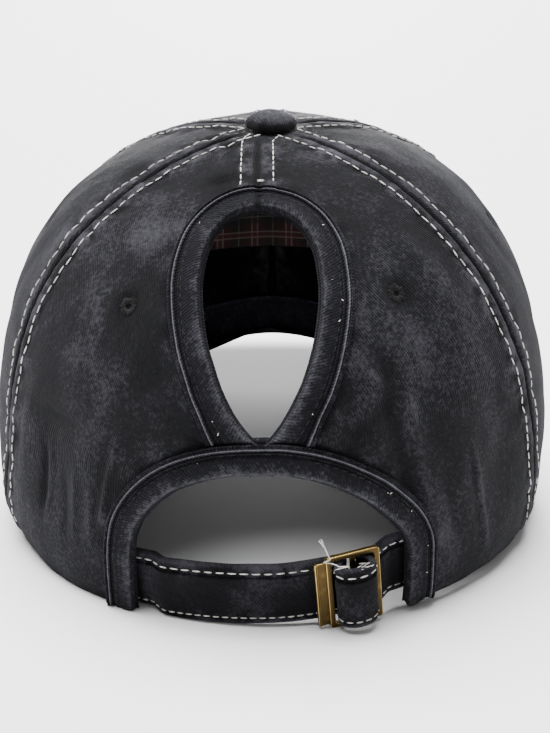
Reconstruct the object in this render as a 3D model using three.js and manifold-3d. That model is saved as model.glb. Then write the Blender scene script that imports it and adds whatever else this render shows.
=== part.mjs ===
// A ponytail baseball cap in washed twill, in millimetres.
// X points to the wearer's right, Y to the front and Z up.
// The cap is built with its rim level, then tipped onto its peak and its back rim.

import * as THREE from 'three';
import { mergeVertices } from 'three/addons/utils/BufferGeometryUtils.js';
import Module from 'manifold-3d';

const wasm = await Module();
wasm.setup();

// Crown, measured on the outside of the cloth
const crown_half_width = 91;
const crown_half_length = 104.9;
const dome_height = 107.9;
const widest_height = 9.5;
const dome_power = 2.475;
const rim_draw = 2;
const below_rim = 2;
const panel_belly = 2;
const front_slump = 1.8;
const slump_turn = 40;
const slump_reach = 110;

// Cloth and the clearances between its layers
const panel_thickness = 1.2;
const binding_thickness = 1;
const lining_thickness = 1;
const seam_gap = 0.3;
const layer_gap = 0.3;
const lining_gap = 0.6;
const plaid_gap = 0.85;

// Seams between the panels, as angles from the back, positive to the right
const back_seam_left = { top: -57, rim: -64 };
const back_seam_right = { top: 49, rim: 64 };
const front_seam = 121;

// Waves of the rim and folds of the cloth
const rim_wave = 11;
const wave_reach = 45;
const fold_depth = 2.4;
const fold_fade = 15;

// Opening for the ponytail, measured along the back from the top of the crown
const hole_top = 52.5;
const hole_half_width = 16.5;
const hole_shift = -2.6;
const centre_lean = -3.8;
const centre_lean_start = 16;
const hole_top_power = 0.5;
const hole_tip_power = 0.7;
const hole_tuck = 0.3;

// Arch above the strap, measured up from the rim
const arch_height = 54;
const arch_half_width = 38.5;
const arch_spring = 22;
const arch_power_left = 2.1;
const arch_power_right = 1.75;

// Folded tape round both openings
const binding_width = 7.3;
const binding_under = 6.3;
const bead_height = 0.5;
const bead_width = 1.4;

// Button on top
const button_radius = 8;
const button_height = 4.5;
const button_power = 0.7;
const shank_radius = 1.5;
const shank_length = 2.6;
const crown_eye = 2.3;

// Eyelets
const eyelet_down = 91;
const eyelet_radius = 3.9;
const eyelet_hole = 1.1;
const eyelet_height = 0.9;
const eyelet_rim = 0.3;

// Sweatband and plaid lining
const sweatband_height = 14;
const sweatband_start = 6;
const plaid_low = 41.5;
const plaid_high = 109;
const plaid_half_angle = 46;

// Peak
const peak_length = 70;
const peak_thickness = 3;
const peak_half_angle = 62;
const peak_corner = 3;
const peak_power = 2.6;
const peak_dip = 12;
const peak_side_dip = 23;

// Strap
const strap_width = 19.2;
const strap_thickness = 2.3;
const strap_height = 5.6;
const strap_slant = 2.5;
const strap_tuck = 8.5;
const strap_edge = 0.5;
const strap_settle = 6;
const strap_clear = 3.2;

// Loop of the strap through the buckle
const loop_radius = 4.6;
const turn_radius = 1.8;
const loop_squash = 0.7;

// Buckle
const buckle_side = 22.7;
const buckle_side_bar = 1.6;
const buckle_end_bar = 1.4;
const buckle_depth = 1.5;
const buckle_corner = 1;
const buckle_bevel = 0.3;
const buckle_gap = 0.6;
const middle_bar = 1.5;
const strap_clearance = 0.5;
const flange_width = 3.2;
const flange_drop = 1.4;
const flange_thickness = 0.7;
const flange_lip = 0.6;

// How far soft edges are pressed flat where the cap rests, and rounds to find its tilt
const rest_press = 0.4;
const tilt_rounds = 4;

// Number of steps along each kind of curve
const meridian_steps = 120;
const hole_steps = 13;
const arch_steps = 9;
const wall_rows = 9;
const hem_rows = 3;
const panel_columns = 10;
const loop_steps = 14;
const turn_steps = 6;
const strap_steps_left = 24;
const strap_steps_right = 12;
const corner_steps = 3;
const band_columns = 42;
const peak_columns = 26;
const peak_rows = 6;
const button_steps = 6;
const round_steps = 16;
const seam_rows = 4;
const plaid_rows = 9;
const plaid_columns = 12;

// Height of the rim above its mean level, as a share of rim_wave, by angle from the back
const wave_table = [
  { angle: -180, lift: 0.5 },
  { angle: -160, lift: 0.15 },
  { angle: -118, lift: -0.8 },
  { angle: -72, lift: 0.14 },
  { angle: -36, lift: 0.12 },
  { angle: 0, lift: 0.22 },
  { angle: 27, lift: 0.56 },
  { angle: 64, lift: 0.14 },
  { angle: 118, lift: -0.8 },
  { angle: 160, lift: 0.15 },
  { angle: 180, lift: 0.5 },
];

// Soft folds: place and size as an angle and a share of the drop, depth as a share of fold_depth
const fold_table = [
  { angle: -45, down: 0.8, wide: 7, tall: 0.13, depth: -1 },
  { angle: -66, down: 0.78, wide: 8, tall: 0.15, depth: -0.7 },
  { angle: 32, down: 0.62, wide: 7, tall: 0.12, depth: -0.8 },
  { angle: 48, down: 0.78, wide: 7, tall: 0.14, depth: -0.9 },
  { angle: 84, down: 0.86, wide: 11, tall: 0.06, depth: 0.5 },
];

// Place of each eyelet: angle from the back, and way down from the top as a share of eyelet_down
const eyelet_table = [
  { name: 'back_left', angle: -33, down: 1 },
  { name: 'back_right', angle: 30.5, down: 0.95 },
  { name: 'side_left', angle: -91, down: 1 },
  { name: 'side_right', angle: 91, down: 1 },
  { name: 'front_left', angle: -150, down: 1 },
  { name: 'front_right', angle: 150, down: 1 },
];

const DEGREE = Math.PI / 180;
const LEFT = -1;
const RIGHT = 1;

// Small helpers
function mix(from, to, share) {
  return from + (to - from) * share;
}

// Index of the row at the far end of the stretch that holds a value
function farEnd(values, value) {
  const found = values.findIndex((row) => row >= value);
  return found < 0 ? values.length - 1 : Math.max(1, found);
}

function smooth(share) {
  const t = Math.min(1, Math.max(0, share));
  return t * t * (3 - 2 * t);
}

function steps(count) {
  return Array.from({ length: count + 1 }, (_, i) => i / count);
}

// The crown's profile along the back, from the top to the rim and a little further
const meridian = [];
for (const share of steps(meridian_steps)) {
  const turn = share * 90 * DEGREE;
  const power = 2 / dome_power;
  meridian.push({
    radius: Math.sin(turn) ** power,
    height: widest_height + dome_height * Math.max(0, Math.cos(turn)) ** power,
  });
}
for (const share of steps(meridian_steps).slice(1)) {
  const fall = share * below_rim;
  meridian.push({
    radius: 1 - (rim_draw / crown_half_length) * fall ** 2,
    height: widest_height * (1 - fall),
  });
}
let run = 0;
meridian.forEach((point, i) => {
  const last = meridian[Math.max(0, i - 1)];
  const out = (point.radius - last.radius) * crown_half_length;
  run += Math.hypot(out, point.height - last.height);
  point.down = run;
});

const meridian_drops = meridian.map((point) => point.down);

// Radius share and height of the level that lies a given way down the back
function level(down) {
  const high = farEnd(meridian_drops, down);
  const a = meridian[high - 1];
  const b = meridian[high];
  const share = (down - a.down) / (b.down - a.down);
  return { radius: mix(a.radius, b.radius, share), height: mix(a.height, b.height, share) };
}

// The way down the back at which the crown has a given height
function downAt(height) {
  const low = meridian.findIndex((point) => point.height <= height);
  const a = meridian[low - 1];
  const b = meridian[low];
  return mix(a.down, b.down, (a.height - height) / (a.height - b.height));
}

const drop = downAt(0);

// Angle round the crown at which a level reaches a given distance to the side
function angleAt(side, down) {
  return Math.asin(side / (crown_half_width * level(down).radius));
}

// Seams, as functions of the way down
function slantedSeam(seam) {
  return (down) => mix(seam.top, seam.rim, down / drop) * DEGREE;
}

// The centre seam leans off the middle, and ends at the top of the hole
function centreSeam(down) {
  const lean = centre_lean * smooth(down / centre_lean_start);
  const meet = smooth((down - hole_top) / binding_width + 1);
  return angleAt(mix(lean, hole_shift, meet), down);
}

const seams = {
  back_left: slantedSeam(back_seam_left),
  back_right: slantedSeam(back_seam_right),
  front_left: () => -front_seam * DEGREE,
  front_right: () => front_seam * DEGREE,
  front_end_left: () => -180 * DEGREE,
  front_end_right: () => 180 * DEGREE,
};

// How far each panel sags between its seams, none at the top and at the rim
function belly(angle, down) {
  const edges = [-180 * DEGREE, -front_seam * DEGREE, seams.back_left(down), 0];
  edges.push(seams.back_right(down), front_seam * DEGREE, 180 * DEGREE);
  const next = farEnd(edges, angle);
  const across = (angle - edges[next - 1]) / (edges[next] - edges[next - 1]);
  const sag = 2 / 3 - 4 * across * (1 - across);
  return panel_belly * sag * Math.sin(Math.PI * Math.min(1, down / drop));
}

function folds(angle, down) {
  let sum = 0;
  for (const fold of fold_table) {
    const across = (angle / DEGREE - fold.angle) / fold.wide;
    const along = (down / drop - fold.down) / fold.tall;
    sum += fold.depth * Math.exp(-across * across - along * along);
  }
  return sum * fold_depth * smooth((drop - down - sweatband_height) / fold_fade);
}

// A smooth curve through the rows of the wave table, level at both ends
function rimWave(angle) {
  const rows = wave_table;
  const degrees = angle / DEGREE;
  const next = farEnd(rows.map((row) => row.angle), degrees);
  const rise = (i) => {
    if (i === 0 || i === rows.length - 1) return 0;
    return (rows[i + 1].lift - rows[i - 1].lift) / (rows[i + 1].angle - rows[i - 1].angle);
  };
  const from = rows[next - 1];
  const to = rows[next];
  const span = to.angle - from.angle;
  const t = (degrees - from.angle) / span;
  const bend = t * (1 - t) * span * ((1 - t) * rise(next - 1) - t * rise(next));
  return rim_wave * (mix(from.lift, to.lift, smooth(t)) + bend);
}

// How far the crown sags in front of the button
function slump(angle, down) {
  const ahead = (1 - Math.cos(angle - slump_turn * DEGREE)) / 2;
  return front_slump * ahead * Math.sin(Math.PI * Math.min(1, down / slump_reach)) ** 2;
}

// A spot on the crown is an angle from the back and a way down from the top.
function turned(angle) {
  return angle > Math.PI ? angle - 2 * Math.PI : angle < -Math.PI ? angle + 2 * Math.PI : angle;
}

function place(spot) {
  const angle = turned(spot.angle);
  const { radius, height } = level(spot.down);
  const swell = (belly(angle, spot.down) + folds(angle, spot.down)) * radius;
  const wave = rimWave(angle) * smooth((spot.down - drop + wave_reach) / wave_reach);
  return new THREE.Vector3(
    (crown_half_width * radius + swell) * Math.sin(angle),
    -(crown_half_length * radius + swell) * Math.cos(angle),
    height + wave - slump(angle, spot.down),
  );
}

// Directions along the crown at a spot, and the way out of it
const probe_angle = 0.004;
const probe_down = 0.5;

function slopes(spot) {
  const round = place({ angle: spot.angle + probe_angle, down: spot.down });
  round.sub(place({ angle: spot.angle - probe_angle, down: spot.down }));
  const fall = place({ angle: spot.angle, down: spot.down + probe_down });
  fall.sub(place({ angle: spot.angle, down: spot.down - probe_down }));
  round.divideScalar(2 * probe_angle);
  fall.divideScalar(2 * probe_down);
  const out = new THREE.Vector3().crossVectors(fall, round).normalize();
  return { round, fall, out };
}

function raised(spot, lift) {
  return place(spot).addScaledVector(slopes(spot).out, lift);
}

// The spot reached by walking over the cloth in a direction
function walk(spot, direction, distance) {
  const { round, fall } = slopes(spot);
  const rr = round.dot(round);
  const ff = fall.dot(fall);
  const rf = round.dot(fall);
  const dr = direction.dot(round);
  const df = direction.dot(fall);
  const area = rr * ff - rf * rf;
  return {
    angle: spot.angle + (distance * (dr * ff - df * rf)) / area,
    down: spot.down + (distance * (df * rr - dr * rf)) / area,
  };
}

function corners(geometry) {
  const { position } = geometry.attributes;
  const corner = (_, i) => new THREE.Vector3().fromBufferAttribute(position, i);
  return Array.from({ length: position.count }, corner);
}

// Closed meshes from points and faces, turned so that they face out
function solid(points, faces) {
  const geometry = new THREE.BufferGeometry();
  const numbers = points.flatMap((p) => p.toArray());
  geometry.setAttribute('position', new THREE.Float32BufferAttribute(numbers, 3));
  let volume = 0;
  for (const [a, b, c] of faces) {
    volume += points[a].dot(new THREE.Vector3().crossVectors(points[b], points[c]));
  }
  geometry.setIndex(volume > 0 ? faces.flat() : faces.flatMap(([a, b, c]) => [a, c, b]));
  return geometry;
}

// A sheet between an outer and an inner grid of points
function sheet(outer, inner) {
  const rows = outer.length;
  const columns = outer[0].length;
  const points = [...outer.flat(), ...inner.flat()];
  const under = rows * columns;
  const at = (row, column) => row * columns + column;
  const faces = [];
  for (let row = 0; row + 1 < rows; row += 1) {
    for (let column = 0; column + 1 < columns; column += 1) {
      const a = at(row, column);
      const b = at(row + 1, column);
      const c = at(row + 1, column + 1);
      const d = at(row, column + 1);
      faces.push([a, b, d], [b, c, d]);
      faces.push([a + under, d + under, b + under], [b + under, d + under, c + under]);
    }
  }
  const rim = [];
  for (let row = 0; row + 1 < rows; row += 1) rim.push(at(row, 0));
  for (let column = 0; column + 1 < columns; column += 1) rim.push(at(rows - 1, column));
  for (let row = rows - 1; row > 0; row -= 1) rim.push(at(row, columns - 1));
  for (let column = columns - 1; column > 0; column -= 1) rim.push(at(0, column));
  rim.forEach((p, i) => {
    const q = rim[(i + 1) % rim.length];
    faces.push([q, p, p + under], [q, p + under, q + under]);
  });
  return solid(points, faces);
}

// Cloth that follows the crown: a grid of spots, raised or sunk, with a thickness below
function cloth(spots, lift, thickness) {
  const outer = spots.map((row) => row.map((spot) => raised(spot, lift)));
  const inner = spots.map((row) => row.map((spot) => raised(spot, lift - thickness)));
  return sheet(outer, inner);
}

// A tube of one section moved along a path, closed by a cap at each end
function sweep(sections, profile) {
  const size = profile.length;
  const faces = [];
  for (let k = 0; k + 1 < sections.length; k += 1) {
    for (let i = 0; i < size; i += 1) {
      const a = k * size + i;
      const b = k * size + ((i + 1) % size);
      faces.push([a, b, b + size], [a, b + size, a + size]);
    }
  }
  const cap = THREE.ShapeUtils.triangulateShape(profile, []);
  const last = (sections.length - 1) * size;
  const forward = THREE.ShapeUtils.area(profile) > 0;
  for (const [a, b, c] of cap) {
    const start = forward ? [a, c, b] : [a, b, c];
    faces.push(start, [start[0] + last, start[2] + last, start[1] + last]);
  }
  return solid(sections.flat(), faces);
}

// Joining and cutting
const weld_distance = 1e-4;

function toManifold(geometry) {
  const bare = geometry.clone();
  bare.deleteAttribute('normal');
  bare.deleteAttribute('uv');
  const merged = mergeVertices(bare, weld_distance);
  const points = corners(merged);
  const corner = merged.index.array;
  const faces = [];
  for (let i = 0; i < corner.length; i += 3) {
    const [a, b, c] = corner.slice(i, i + 3);
    if (a !== b && b !== c && c !== a) faces.push([a, b, c]);
  }
  const closed = solid(points, faces);
  const vertProperties = new Float32Array(closed.attributes.position.array);
  const triVerts = new Uint32Array(closed.index.array);
  return new wasm.Manifold(new wasm.Mesh({ numProp: 3, vertProperties, triVerts }));
}

function toGeometry(manifold) {
  const mesh = manifold.getMesh();
  const geometry = new THREE.BufferGeometry();
  geometry.setAttribute('position', new THREE.BufferAttribute(new Float32Array(mesh.vertProperties), 3));
  geometry.setIndex(new THREE.BufferAttribute(new Uint32Array(mesh.triVerts), 1));
  return geometry;
}

function cut(geometry, tool) {
  return toGeometry(toManifold(geometry).subtract(toManifold(tool)));
}

function join(...geometries) {
  return toGeometry(geometries.map(toManifold).reduce((sum, next) => sum.add(next)));
}

// Levels of the hem, which the panels and the sweatband behind them share
const hem = steps(hem_rows).map((share) => mix(drop - sweatband_height, drop, share));

// Edge of the ponytail hole on one side, from its top to its tip
const arch_top = drop - arch_height;
const hole_tip = arch_top - binding_width + hole_tuck;

function holeSpot(side, share) {
  const widest = hole_top_power / (hole_top_power + hole_tip_power);
  const rise = (share / widest) ** hole_top_power;
  const close = ((1 - share) / (1 - widest)) ** hole_tip_power;
  const down = mix(hole_top, hole_tip, share);
  return { angle: angleAt(hole_shift + side * hole_half_width * rise * close, down), down };
}

function holeEdge(side) {
  return steps(hole_steps).map((share) => holeSpot(side, (1 - Math.cos(Math.PI * share)) / 2));
}

// Edge of the arch on one side, from its top to the rim
function archEdge(side) {
  const power = 2 / (side === LEFT ? arch_power_left : arch_power_right);
  const bow = steps(arch_steps).map((share) => {
    const turn = share * 90 * DEGREE;
    const down = drop - mix(arch_spring, arch_height, Math.max(0, Math.cos(turn)) ** power);
    return { angle: angleAt(side * arch_half_width * Math.sin(turn) ** power, down), down };
  });
  const legs = hem.map((down) => ({ angle: angleAt(side * arch_half_width, down), down }));
  return [...bow, ...legs];
}

// Runs of spots that turn clockwise round an opening, seen from behind
const hole_run = [...holeEdge(LEFT).reverse(), ...holeEdge(RIGHT).slice(1)];
const arch_run = [...archEdge(LEFT).reverse(), ...archEdge(RIGHT).slice(1)];

// Direction over the cloth, away from the opening, at one spot of a run
function away(spots, i) {
  const before = place(spots[Math.max(0, i - 1)]);
  const after = place(spots[Math.min(spots.length - 1, i + 1)]);
  const along = after.sub(before).normalize();
  return new THREE.Vector3().crossVectors(slopes(spots[i]).out, along).normalize();
}

function outset(spots, distance) {
  return spots.map((spot, i) => walk(spot, away(spots, i), distance));
}

// Panels
const edge_clearance = binding_thickness + layer_gap;

function spread(spot) {
  return slopes(spot).round.length();
}

// A row of spots between two angles on one level, drawn in by half a seam gap where asked
function panelRow(down, from, to, fromGap, toGap) {
  const start = from + (fromGap * seam_gap) / 2 / spread({ angle: from, down });
  const end = to - (toGap * seam_gap) / 2 / spread({ angle: to, down });
  return steps(panel_columns).map((share) => ({ angle: mix(start, end, share), down }));
}

function wallPanel(from, to) {
  const wall = steps(wall_rows).map((share) => mix(crown_eye, hem[0], share));
  const rows = [...wall, ...hem.slice(1)].map((down) => panelRow(down, from(down), to(down), 1, 1));
  return cloth(rows, 0, panel_thickness);
}

// Inner edge of a back panel: the centre seam, the hole, the bridge and the arch
function backEdge(side) {
  const hole = outset(hole_run, edge_clearance);
  const arch = outset(arch_run, edge_clearance);
  const pick = (spots) => {
    const middle = (spots.length - 1) / 2;
    return side === LEFT ? spots.slice(0, middle + 1).reverse() : spots.slice(middle);
  };
  const seam = steps(seam_rows).slice(0, -1).map((share) => {
    const down = mix(crown_eye, hole_top - edge_clearance, share);
    return { angle: centreSeam(down), down, gap: 1 };
  });
  const mark = (spot, i) => ({ ...spot, gap: i === 0 ? 1 : 0 });
  return [...seam, ...pick(hole).map(mark), ...pick(arch).map(mark)];
}

function backPanel(side) {
  const seam = side === LEFT ? seams.back_left : seams.back_right;
  const rows = backEdge(side).map(({ angle, down, gap }) => {
    if (side === LEFT) return panelRow(down, seam(down), angle, 1, gap);
    return panelRow(down, angle, seam(down), gap, 1);
  });
  rows[rows.length - 1].forEach((spot) => {
    spot.down = drop;
  });
  return cloth(rows, 0, panel_thickness);
}

// Folded tape: a leaf with a raised edge outside, a leaf inside and a bend at the opening
function bindingProfile() {
  const over = layer_gap;
  const top = over + binding_thickness;
  const under = -panel_thickness - lining_gap;
  const bottom = under - binding_thickness;
  const bend = binding_thickness / 2;
  return [
    [binding_width, over],
    [binding_width, top + bead_height],
    [binding_width - bead_width / 2, top + bead_height],
    [binding_width - bead_width, top],
    [bend, top],
    [0, over],
    [0, under],
    [bend, bottom],
    [binding_under, bottom],
    [binding_under, under],
    [binding_thickness, under],
    [binding_thickness, over],
  ].map(([across, lift]) => new THREE.Vector2(across, lift));
}

function binding(spots) {
  const profile = bindingProfile();
  const sections = spots.map((spot, i) => {
    const direction = away(spots, i);
    return profile.map(({ x, y }) => raised(walk(spot, direction, x), y));
  });
  return sweep(sections, profile);
}

// The arch's tape covers the foot of the hole's tape, which ends against it.
function holeBinding() {
  const near = arch_run.filter((spot) => spot.down < drop - arch_spring);
  const border = outset(near, binding_width + layer_gap);
  const reach = binding_width + panel_thickness;
  const tool = cloth([border, outset(near, -binding_width)], reach, 2 * reach);
  return cut(binding(hole_run), tool);
}

// Button with the shank that holds it
function button() {
  const outline = [new THREE.Vector2(0, -shank_length), new THREE.Vector2(shank_radius, -shank_length)];
  outline.push(new THREE.Vector2(shank_radius, 0));
  for (const share of steps(button_steps)) {
    const turn = share * 90 * DEGREE;
    const out = button_radius * Math.max(0, Math.cos(turn)) ** button_power;
    outline.push(new THREE.Vector2(out, button_height * Math.sin(turn)));
  }
  const dome = new THREE.LatheGeometry(outline, round_steps).rotateX(90 * DEGREE);
  return dome.translate(0, 0, place({ angle: 0, down: 0 }).z + layer_gap);
}

// The way up over the cloth, square to the level that runs through a spot
function upFrom(spot) {
  const { out, round } = slopes(spot);
  return new THREE.Vector3().crossVectors(out, round).normalize();
}

// A frame of three directions at a spot: to the right, into the cloth and up
function frameAt(spot, lift) {
  const { out, round } = slopes(spot);
  const right = round.clone().normalize();
  const basis = new THREE.Matrix4().makeBasis(right, out.clone().negate(), upFrom(spot));
  return basis.setPosition(raised(spot, lift));
}

function eyelet(spot) {
  const middle = (eyelet_radius + eyelet_hole) / 2;
  const outline = [
    new THREE.Vector2(eyelet_hole, 0),
    new THREE.Vector2(eyelet_radius, 0),
    new THREE.Vector2(eyelet_radius - eyelet_rim, eyelet_height / 2),
    new THREE.Vector2(middle, eyelet_height),
    new THREE.Vector2(eyelet_hole, eyelet_height / 2),
    new THREE.Vector2(eyelet_hole, 0),
  ];
  const ring = new THREE.LatheGeometry(outline, round_steps).rotateX(180 * DEGREE);
  return ring.applyMatrix4(frameAt(spot, layer_gap));
}

// A pin through the cloth, far longer than the cloth is thick
function eyeletBore(spot) {
  const bore = new THREE.CylinderGeometry(eyelet_hole, eyelet_hole, 4 * panel_thickness, round_steps);
  return bore.applyMatrix4(frameAt(spot, -panel_thickness / 2));
}

// Sweatband, from one side of the arch round the front to the other
const lining_lift = -panel_thickness - lining_gap;

function behindArch(side) {
  const out = arch_half_width + binding_width + sweatband_start;
  return angleAt(side * out, drop);
}

function sweatband() {
  const from = behindArch(RIGHT);
  const to = 2 * Math.PI + behindArch(LEFT);
  const rows = hem.map((down) => steps(band_columns).map((round) => ({ angle: mix(from, to, round), down })));
  rows[hem_rows].forEach((spot) => {
    const front = Math.abs(turned(spot.angle + Math.PI)) / DEGREE;
    spot.down += peak_thickness * smooth((peak_half_angle - front) / peak_corner);
  });
  return cloth(rows, lining_lift, lining_thickness);
}

function plaidLining() {
  const half = plaid_half_angle * DEGREE;
  const rows = steps(plaid_rows).map((share) => {
    const down = mix(downAt(plaid_high), downAt(plaid_low), share);
    return steps(plaid_columns).map((round) => ({ angle: Math.PI + mix(-half, half, round), down }));
  });
  return cloth(rows, -panel_thickness - plaid_gap, lining_thickness);
}

// Peak, ruled from the front rim to its outer edge
function peakEdges(share) {
  const angle = Math.PI + share * peak_half_angle * DEGREE;
  const inner = raised({ angle, down: drop }, -panel_thickness);
  inner.z = place({ angle, down: drop }).z - layer_gap;
  const temple = peak_half_angle * DEGREE;
  const back = crown_half_length * Math.cos(temple);
  const half = crown_half_width * Math.sin(temple) + peak_corner;
  const reach = crown_half_length + peak_length - back;
  const turn = share * 90 * DEGREE;
  const power = 2 / peak_power;
  const x = -Math.sign(share) * half * Math.abs(Math.sin(turn)) ** power;
  const y = back + reach * Math.max(0, Math.cos(turn)) ** power;
  const span = Math.hypot(x - inner.x, y - inner.y);
  const dip = mix(peak_dip, peak_side_dip, share * share) * DEGREE;
  return { inner, outer: new THREE.Vector3(x, y, inner.z - span * Math.tan(dip)) };
}

function peak() {
  const top = steps(peak_rows).map((out) => steps(peak_columns).map((across) => {
    const { inner, outer } = peakEdges(mix(-1, 1, across));
    return inner.lerp(outer, out);
  }));
  const bottom = top.map((row) => row.map((point) => point.clone()));
  bottom.flat().forEach((point) => {
    point.z -= peak_thickness;
  });
  return sheet(top, bottom);
}

// The buckle lies flat on the crown, and the strap runs behind it.
const strap_middle = drop - strap_height - strap_width / 2;
const buckle_spot = { angle: angleAt(buckle_side, strap_middle), down: strap_middle };
const strap_sunk = -(layer_gap + buckle_gap + strap_thickness / 2);
const strap_deep = lining_lift - binding_thickness - lining_gap - strap_thickness / 2;

// The loop is an arc on two smaller arcs that turn round the middle bar and the side bars.
const loop_foot = (middle_bar + strap_thickness) / 2 + layer_gap + turn_radius;
const loop_lean = Math.acos(loop_foot / (loop_radius + turn_radius));

function arc(side, rise, radius, from, to, count) {
  return steps(count).map((share) => {
    const turn = mix(from, to, share);
    return { side: side + radius * Math.cos(turn), rise: rise + radius * Math.sin(turn) };
  });
}

// The loop as distances to the right of the buckle's middle and out from the strap's flat run
function strapLoop() {
  const quarter = 90 * DEGREE;
  const loop_rise = turn_radius + (loop_radius + turn_radius) * Math.sin(loop_lean);
  const start = arc(-loop_foot, turn_radius, turn_radius, -quarter, loop_lean, turn_steps);
  const bow = arc(0, loop_rise, loop_radius, 2 * quarter + loop_lean, -loop_lean, loop_steps);
  const end = arc(loop_foot, turn_radius, turn_radius, 2 * quarter - loop_lean, 3 * quarter, turn_steps);
  const loop = [...start, ...bow.slice(1), ...end.slice(1)];
  return loop.map(({ side, rise }) => ({ side, rise: rise * loop_squash }));
}

// The strap sinks behind the arch's tape before it reaches it.
function strapOut(angle) {
  const side = Math.abs(Math.sin(angle)) * crown_half_width;
  const clear = (arch_half_width - strap_clear - side) / strap_settle;
  return mix(strap_deep, strap_sunk, smooth(clear));
}

// The strap slants down towards its left end.
function strapSlant(angle) {
  const side = Math.min(0, Math.sin(angle)) * crown_half_width;
  return strap_slant * (side / arch_half_width) ** 2;
}

function strapRoute() {
  const scale = spread(buckle_spot);
  const end = (side) => angleAt(side * (arch_half_width + strap_tuck), strap_middle);
  const foot = (side) => buckle_spot.angle + (side * loop_foot) / scale;
  const flat = (from, to, count) => steps(count).map((share) => {
    const angle = mix(from, to, share);
    return { angle, out: strapOut(angle), rise: 0 };
  });
  const loop = strapLoop().map(({ side, rise }) => {
    return { angle: buckle_spot.angle + side / scale, out: strap_sunk, rise };
  });
  const left = flat(end(LEFT), foot(LEFT), strap_steps_left).slice(0, -1);
  const right = flat(foot(RIGHT), end(RIGHT), strap_steps_right).slice(1);
  return [...left, ...loop, ...right];
}

function strap() {
  const half = strap_thickness / 2;
  const tall = strap_width / 2;
  const profile = [
    [-half, -tall + strap_edge],
    [-half + strap_edge, -tall],
    [half - strap_edge, -tall],
    [half, -tall + strap_edge],
    [half, tall - strap_edge],
    [half - strap_edge, tall],
    [-half + strap_edge, tall],
    [-half, tall - strap_edge],
  ].map(([across, up]) => new THREE.Vector2(across, up));
  const route = strapRoute();
  const scale = spread(buckle_spot);
  const height = ({ out, rise }) => out + rise;
  const sections = route.map(({ angle, out, rise }, i) => {
    const before = route[Math.max(0, i - 1)];
    const after = route[Math.min(route.length - 1, i + 1)];
    const along = new THREE.Vector2((after.angle - before.angle) * scale, height(after) - height(before));
    along.normalize();
    return profile.map(({ x, y }) => {
      const spot = { angle: angle - (x * along.y) / scale, down: strap_middle + strapSlant(angle) };
      const foot = raised(walk(spot, upFrom(spot), y), out + x * along.x);
      return foot.addScaledVector(slopes(spot).out, rise);
    });
  });
  return sweep(sections, profile);
}

// Buckle: a frame with a middle bar and a flange with a raised lip, square to the strap
const window_half = loop_radius + strap_thickness / 2 + layer_gap;
const window_height = strap_width + 2 * strap_clearance;

function roundedOutline(shape, width, height, corner) {
  const x = width / 2;
  const y = height / 2;
  shape.moveTo(x - corner, -y);
  shape.absarc(x - corner, -y + corner, corner, -90 * DEGREE, 0);
  shape.absarc(x - corner, y - corner, corner, 0, 90 * DEGREE);
  shape.absarc(-x + corner, y - corner, corner, 90 * DEGREE, 180 * DEGREE);
  shape.absarc(-x + corner, -y + corner, corner, 180 * DEGREE, 270 * DEGREE);
  return shape;
}

function box(x, y, z, wide, deep, tall) {
  return new THREE.BoxGeometry(wide, deep, tall).translate(x, y, z);
}

function buckle() {
  const bevel = buckle_bevel;
  const wide = 2 * (window_half + buckle_side_bar);
  const tall = window_height + 2 * buckle_end_bar;
  const shape = roundedOutline(new THREE.Shape(), wide - 2 * bevel, tall - 2 * bevel, buckle_corner);
  const hole = roundedOutline(new THREE.Path(), 2 * (window_half + bevel), window_height + 2 * bevel, bevel);
  shape.holes.push(hole);
  const frame = new THREE.ExtrudeGeometry(shape, {
    depth: buckle_depth - 2 * bevel,
    bevelThickness: bevel,
    bevelSize: bevel,
    bevelSegments: 1,
    curveSegments: corner_steps,
  });
  frame.rotateX(90 * DEGREE).translate(0, -bevel, 0);
  const reach = window_height + buckle_end_bar;
  const bar = box(0, -buckle_depth / 2, 0, middle_bar, buckle_depth - bevel, reach);
  const flange_x = -wide / 2 - flange_width / 2 + bevel;
  const flange_tall = tall - 2 * flange_drop;
  const plate = box(flange_x, -flange_thickness, 0, flange_width + 2 * bevel, flange_thickness, flange_tall);
  const lip_x = flange_x - flange_width / 2;
  const lip = box(lip_x, -flange_thickness, 0, flange_lip, 2 * flange_lip, flange_tall);
  return join(frame, bar, plate, lip).applyMatrix4(frameAt(buckle_spot, -layer_gap));
}

// Every piece, with the cap's rim level
function pieces() {
  const panels = {
    panel_back_left: backPanel(LEFT),
    panel_back_right: backPanel(RIGHT),
    panel_side_left: wallPanel(seams.front_left, seams.back_left),
    panel_side_right: wallPanel(seams.back_right, seams.front_right),
    panel_front_left: wallPanel(seams.front_end_left, seams.front_left),
    panel_front_right: wallPanel(seams.front_right, seams.front_end_right),
  };
  const eyelets = {};
  for (const { name, angle, down } of eyelet_table) {
    const spot = { angle: angle * DEGREE, down: down * eyelet_down };
    eyelets[`eyelet_${name}`] = eyelet(spot);
    panels[`panel_${name}`] = cut(panels[`panel_${name}`], eyeletBore(spot));
  }
  return {
    ...panels,
    top_button: button(),
    hole_binding: holeBinding(),
    arch_binding: binding(arch_run),
    sweatband: sweatband(),
    plaid_lining: plaidLining(),
    peak: peak(),
    strap: strap(),
    buckle: buckle(),
    ...eyelets,
  };
}

// The cap rests on the buckle's foot and the peak's front corners, which are pressed a little flat.
function restingPlane(buckleGeometry, peakGeometry) {
  let tilt = 0;
  let heel = new THREE.Vector3();
  for (let round = 0; round < tilt_rounds; round += 1) {
    const height = (point) => point.y * Math.sin(tilt) + point.z * Math.cos(tilt);
    heel = corners(buckleGeometry).reduce((low, point) => (height(point) < height(low) ? point : low));
    const slope = (point) => Math.atan2(heel.z - point.z - rest_press, point.y - heel.y);
    tilt = Math.max(...corners(peakGeometry).map(slope));
  }
  return { tilt, heel };
}

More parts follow.
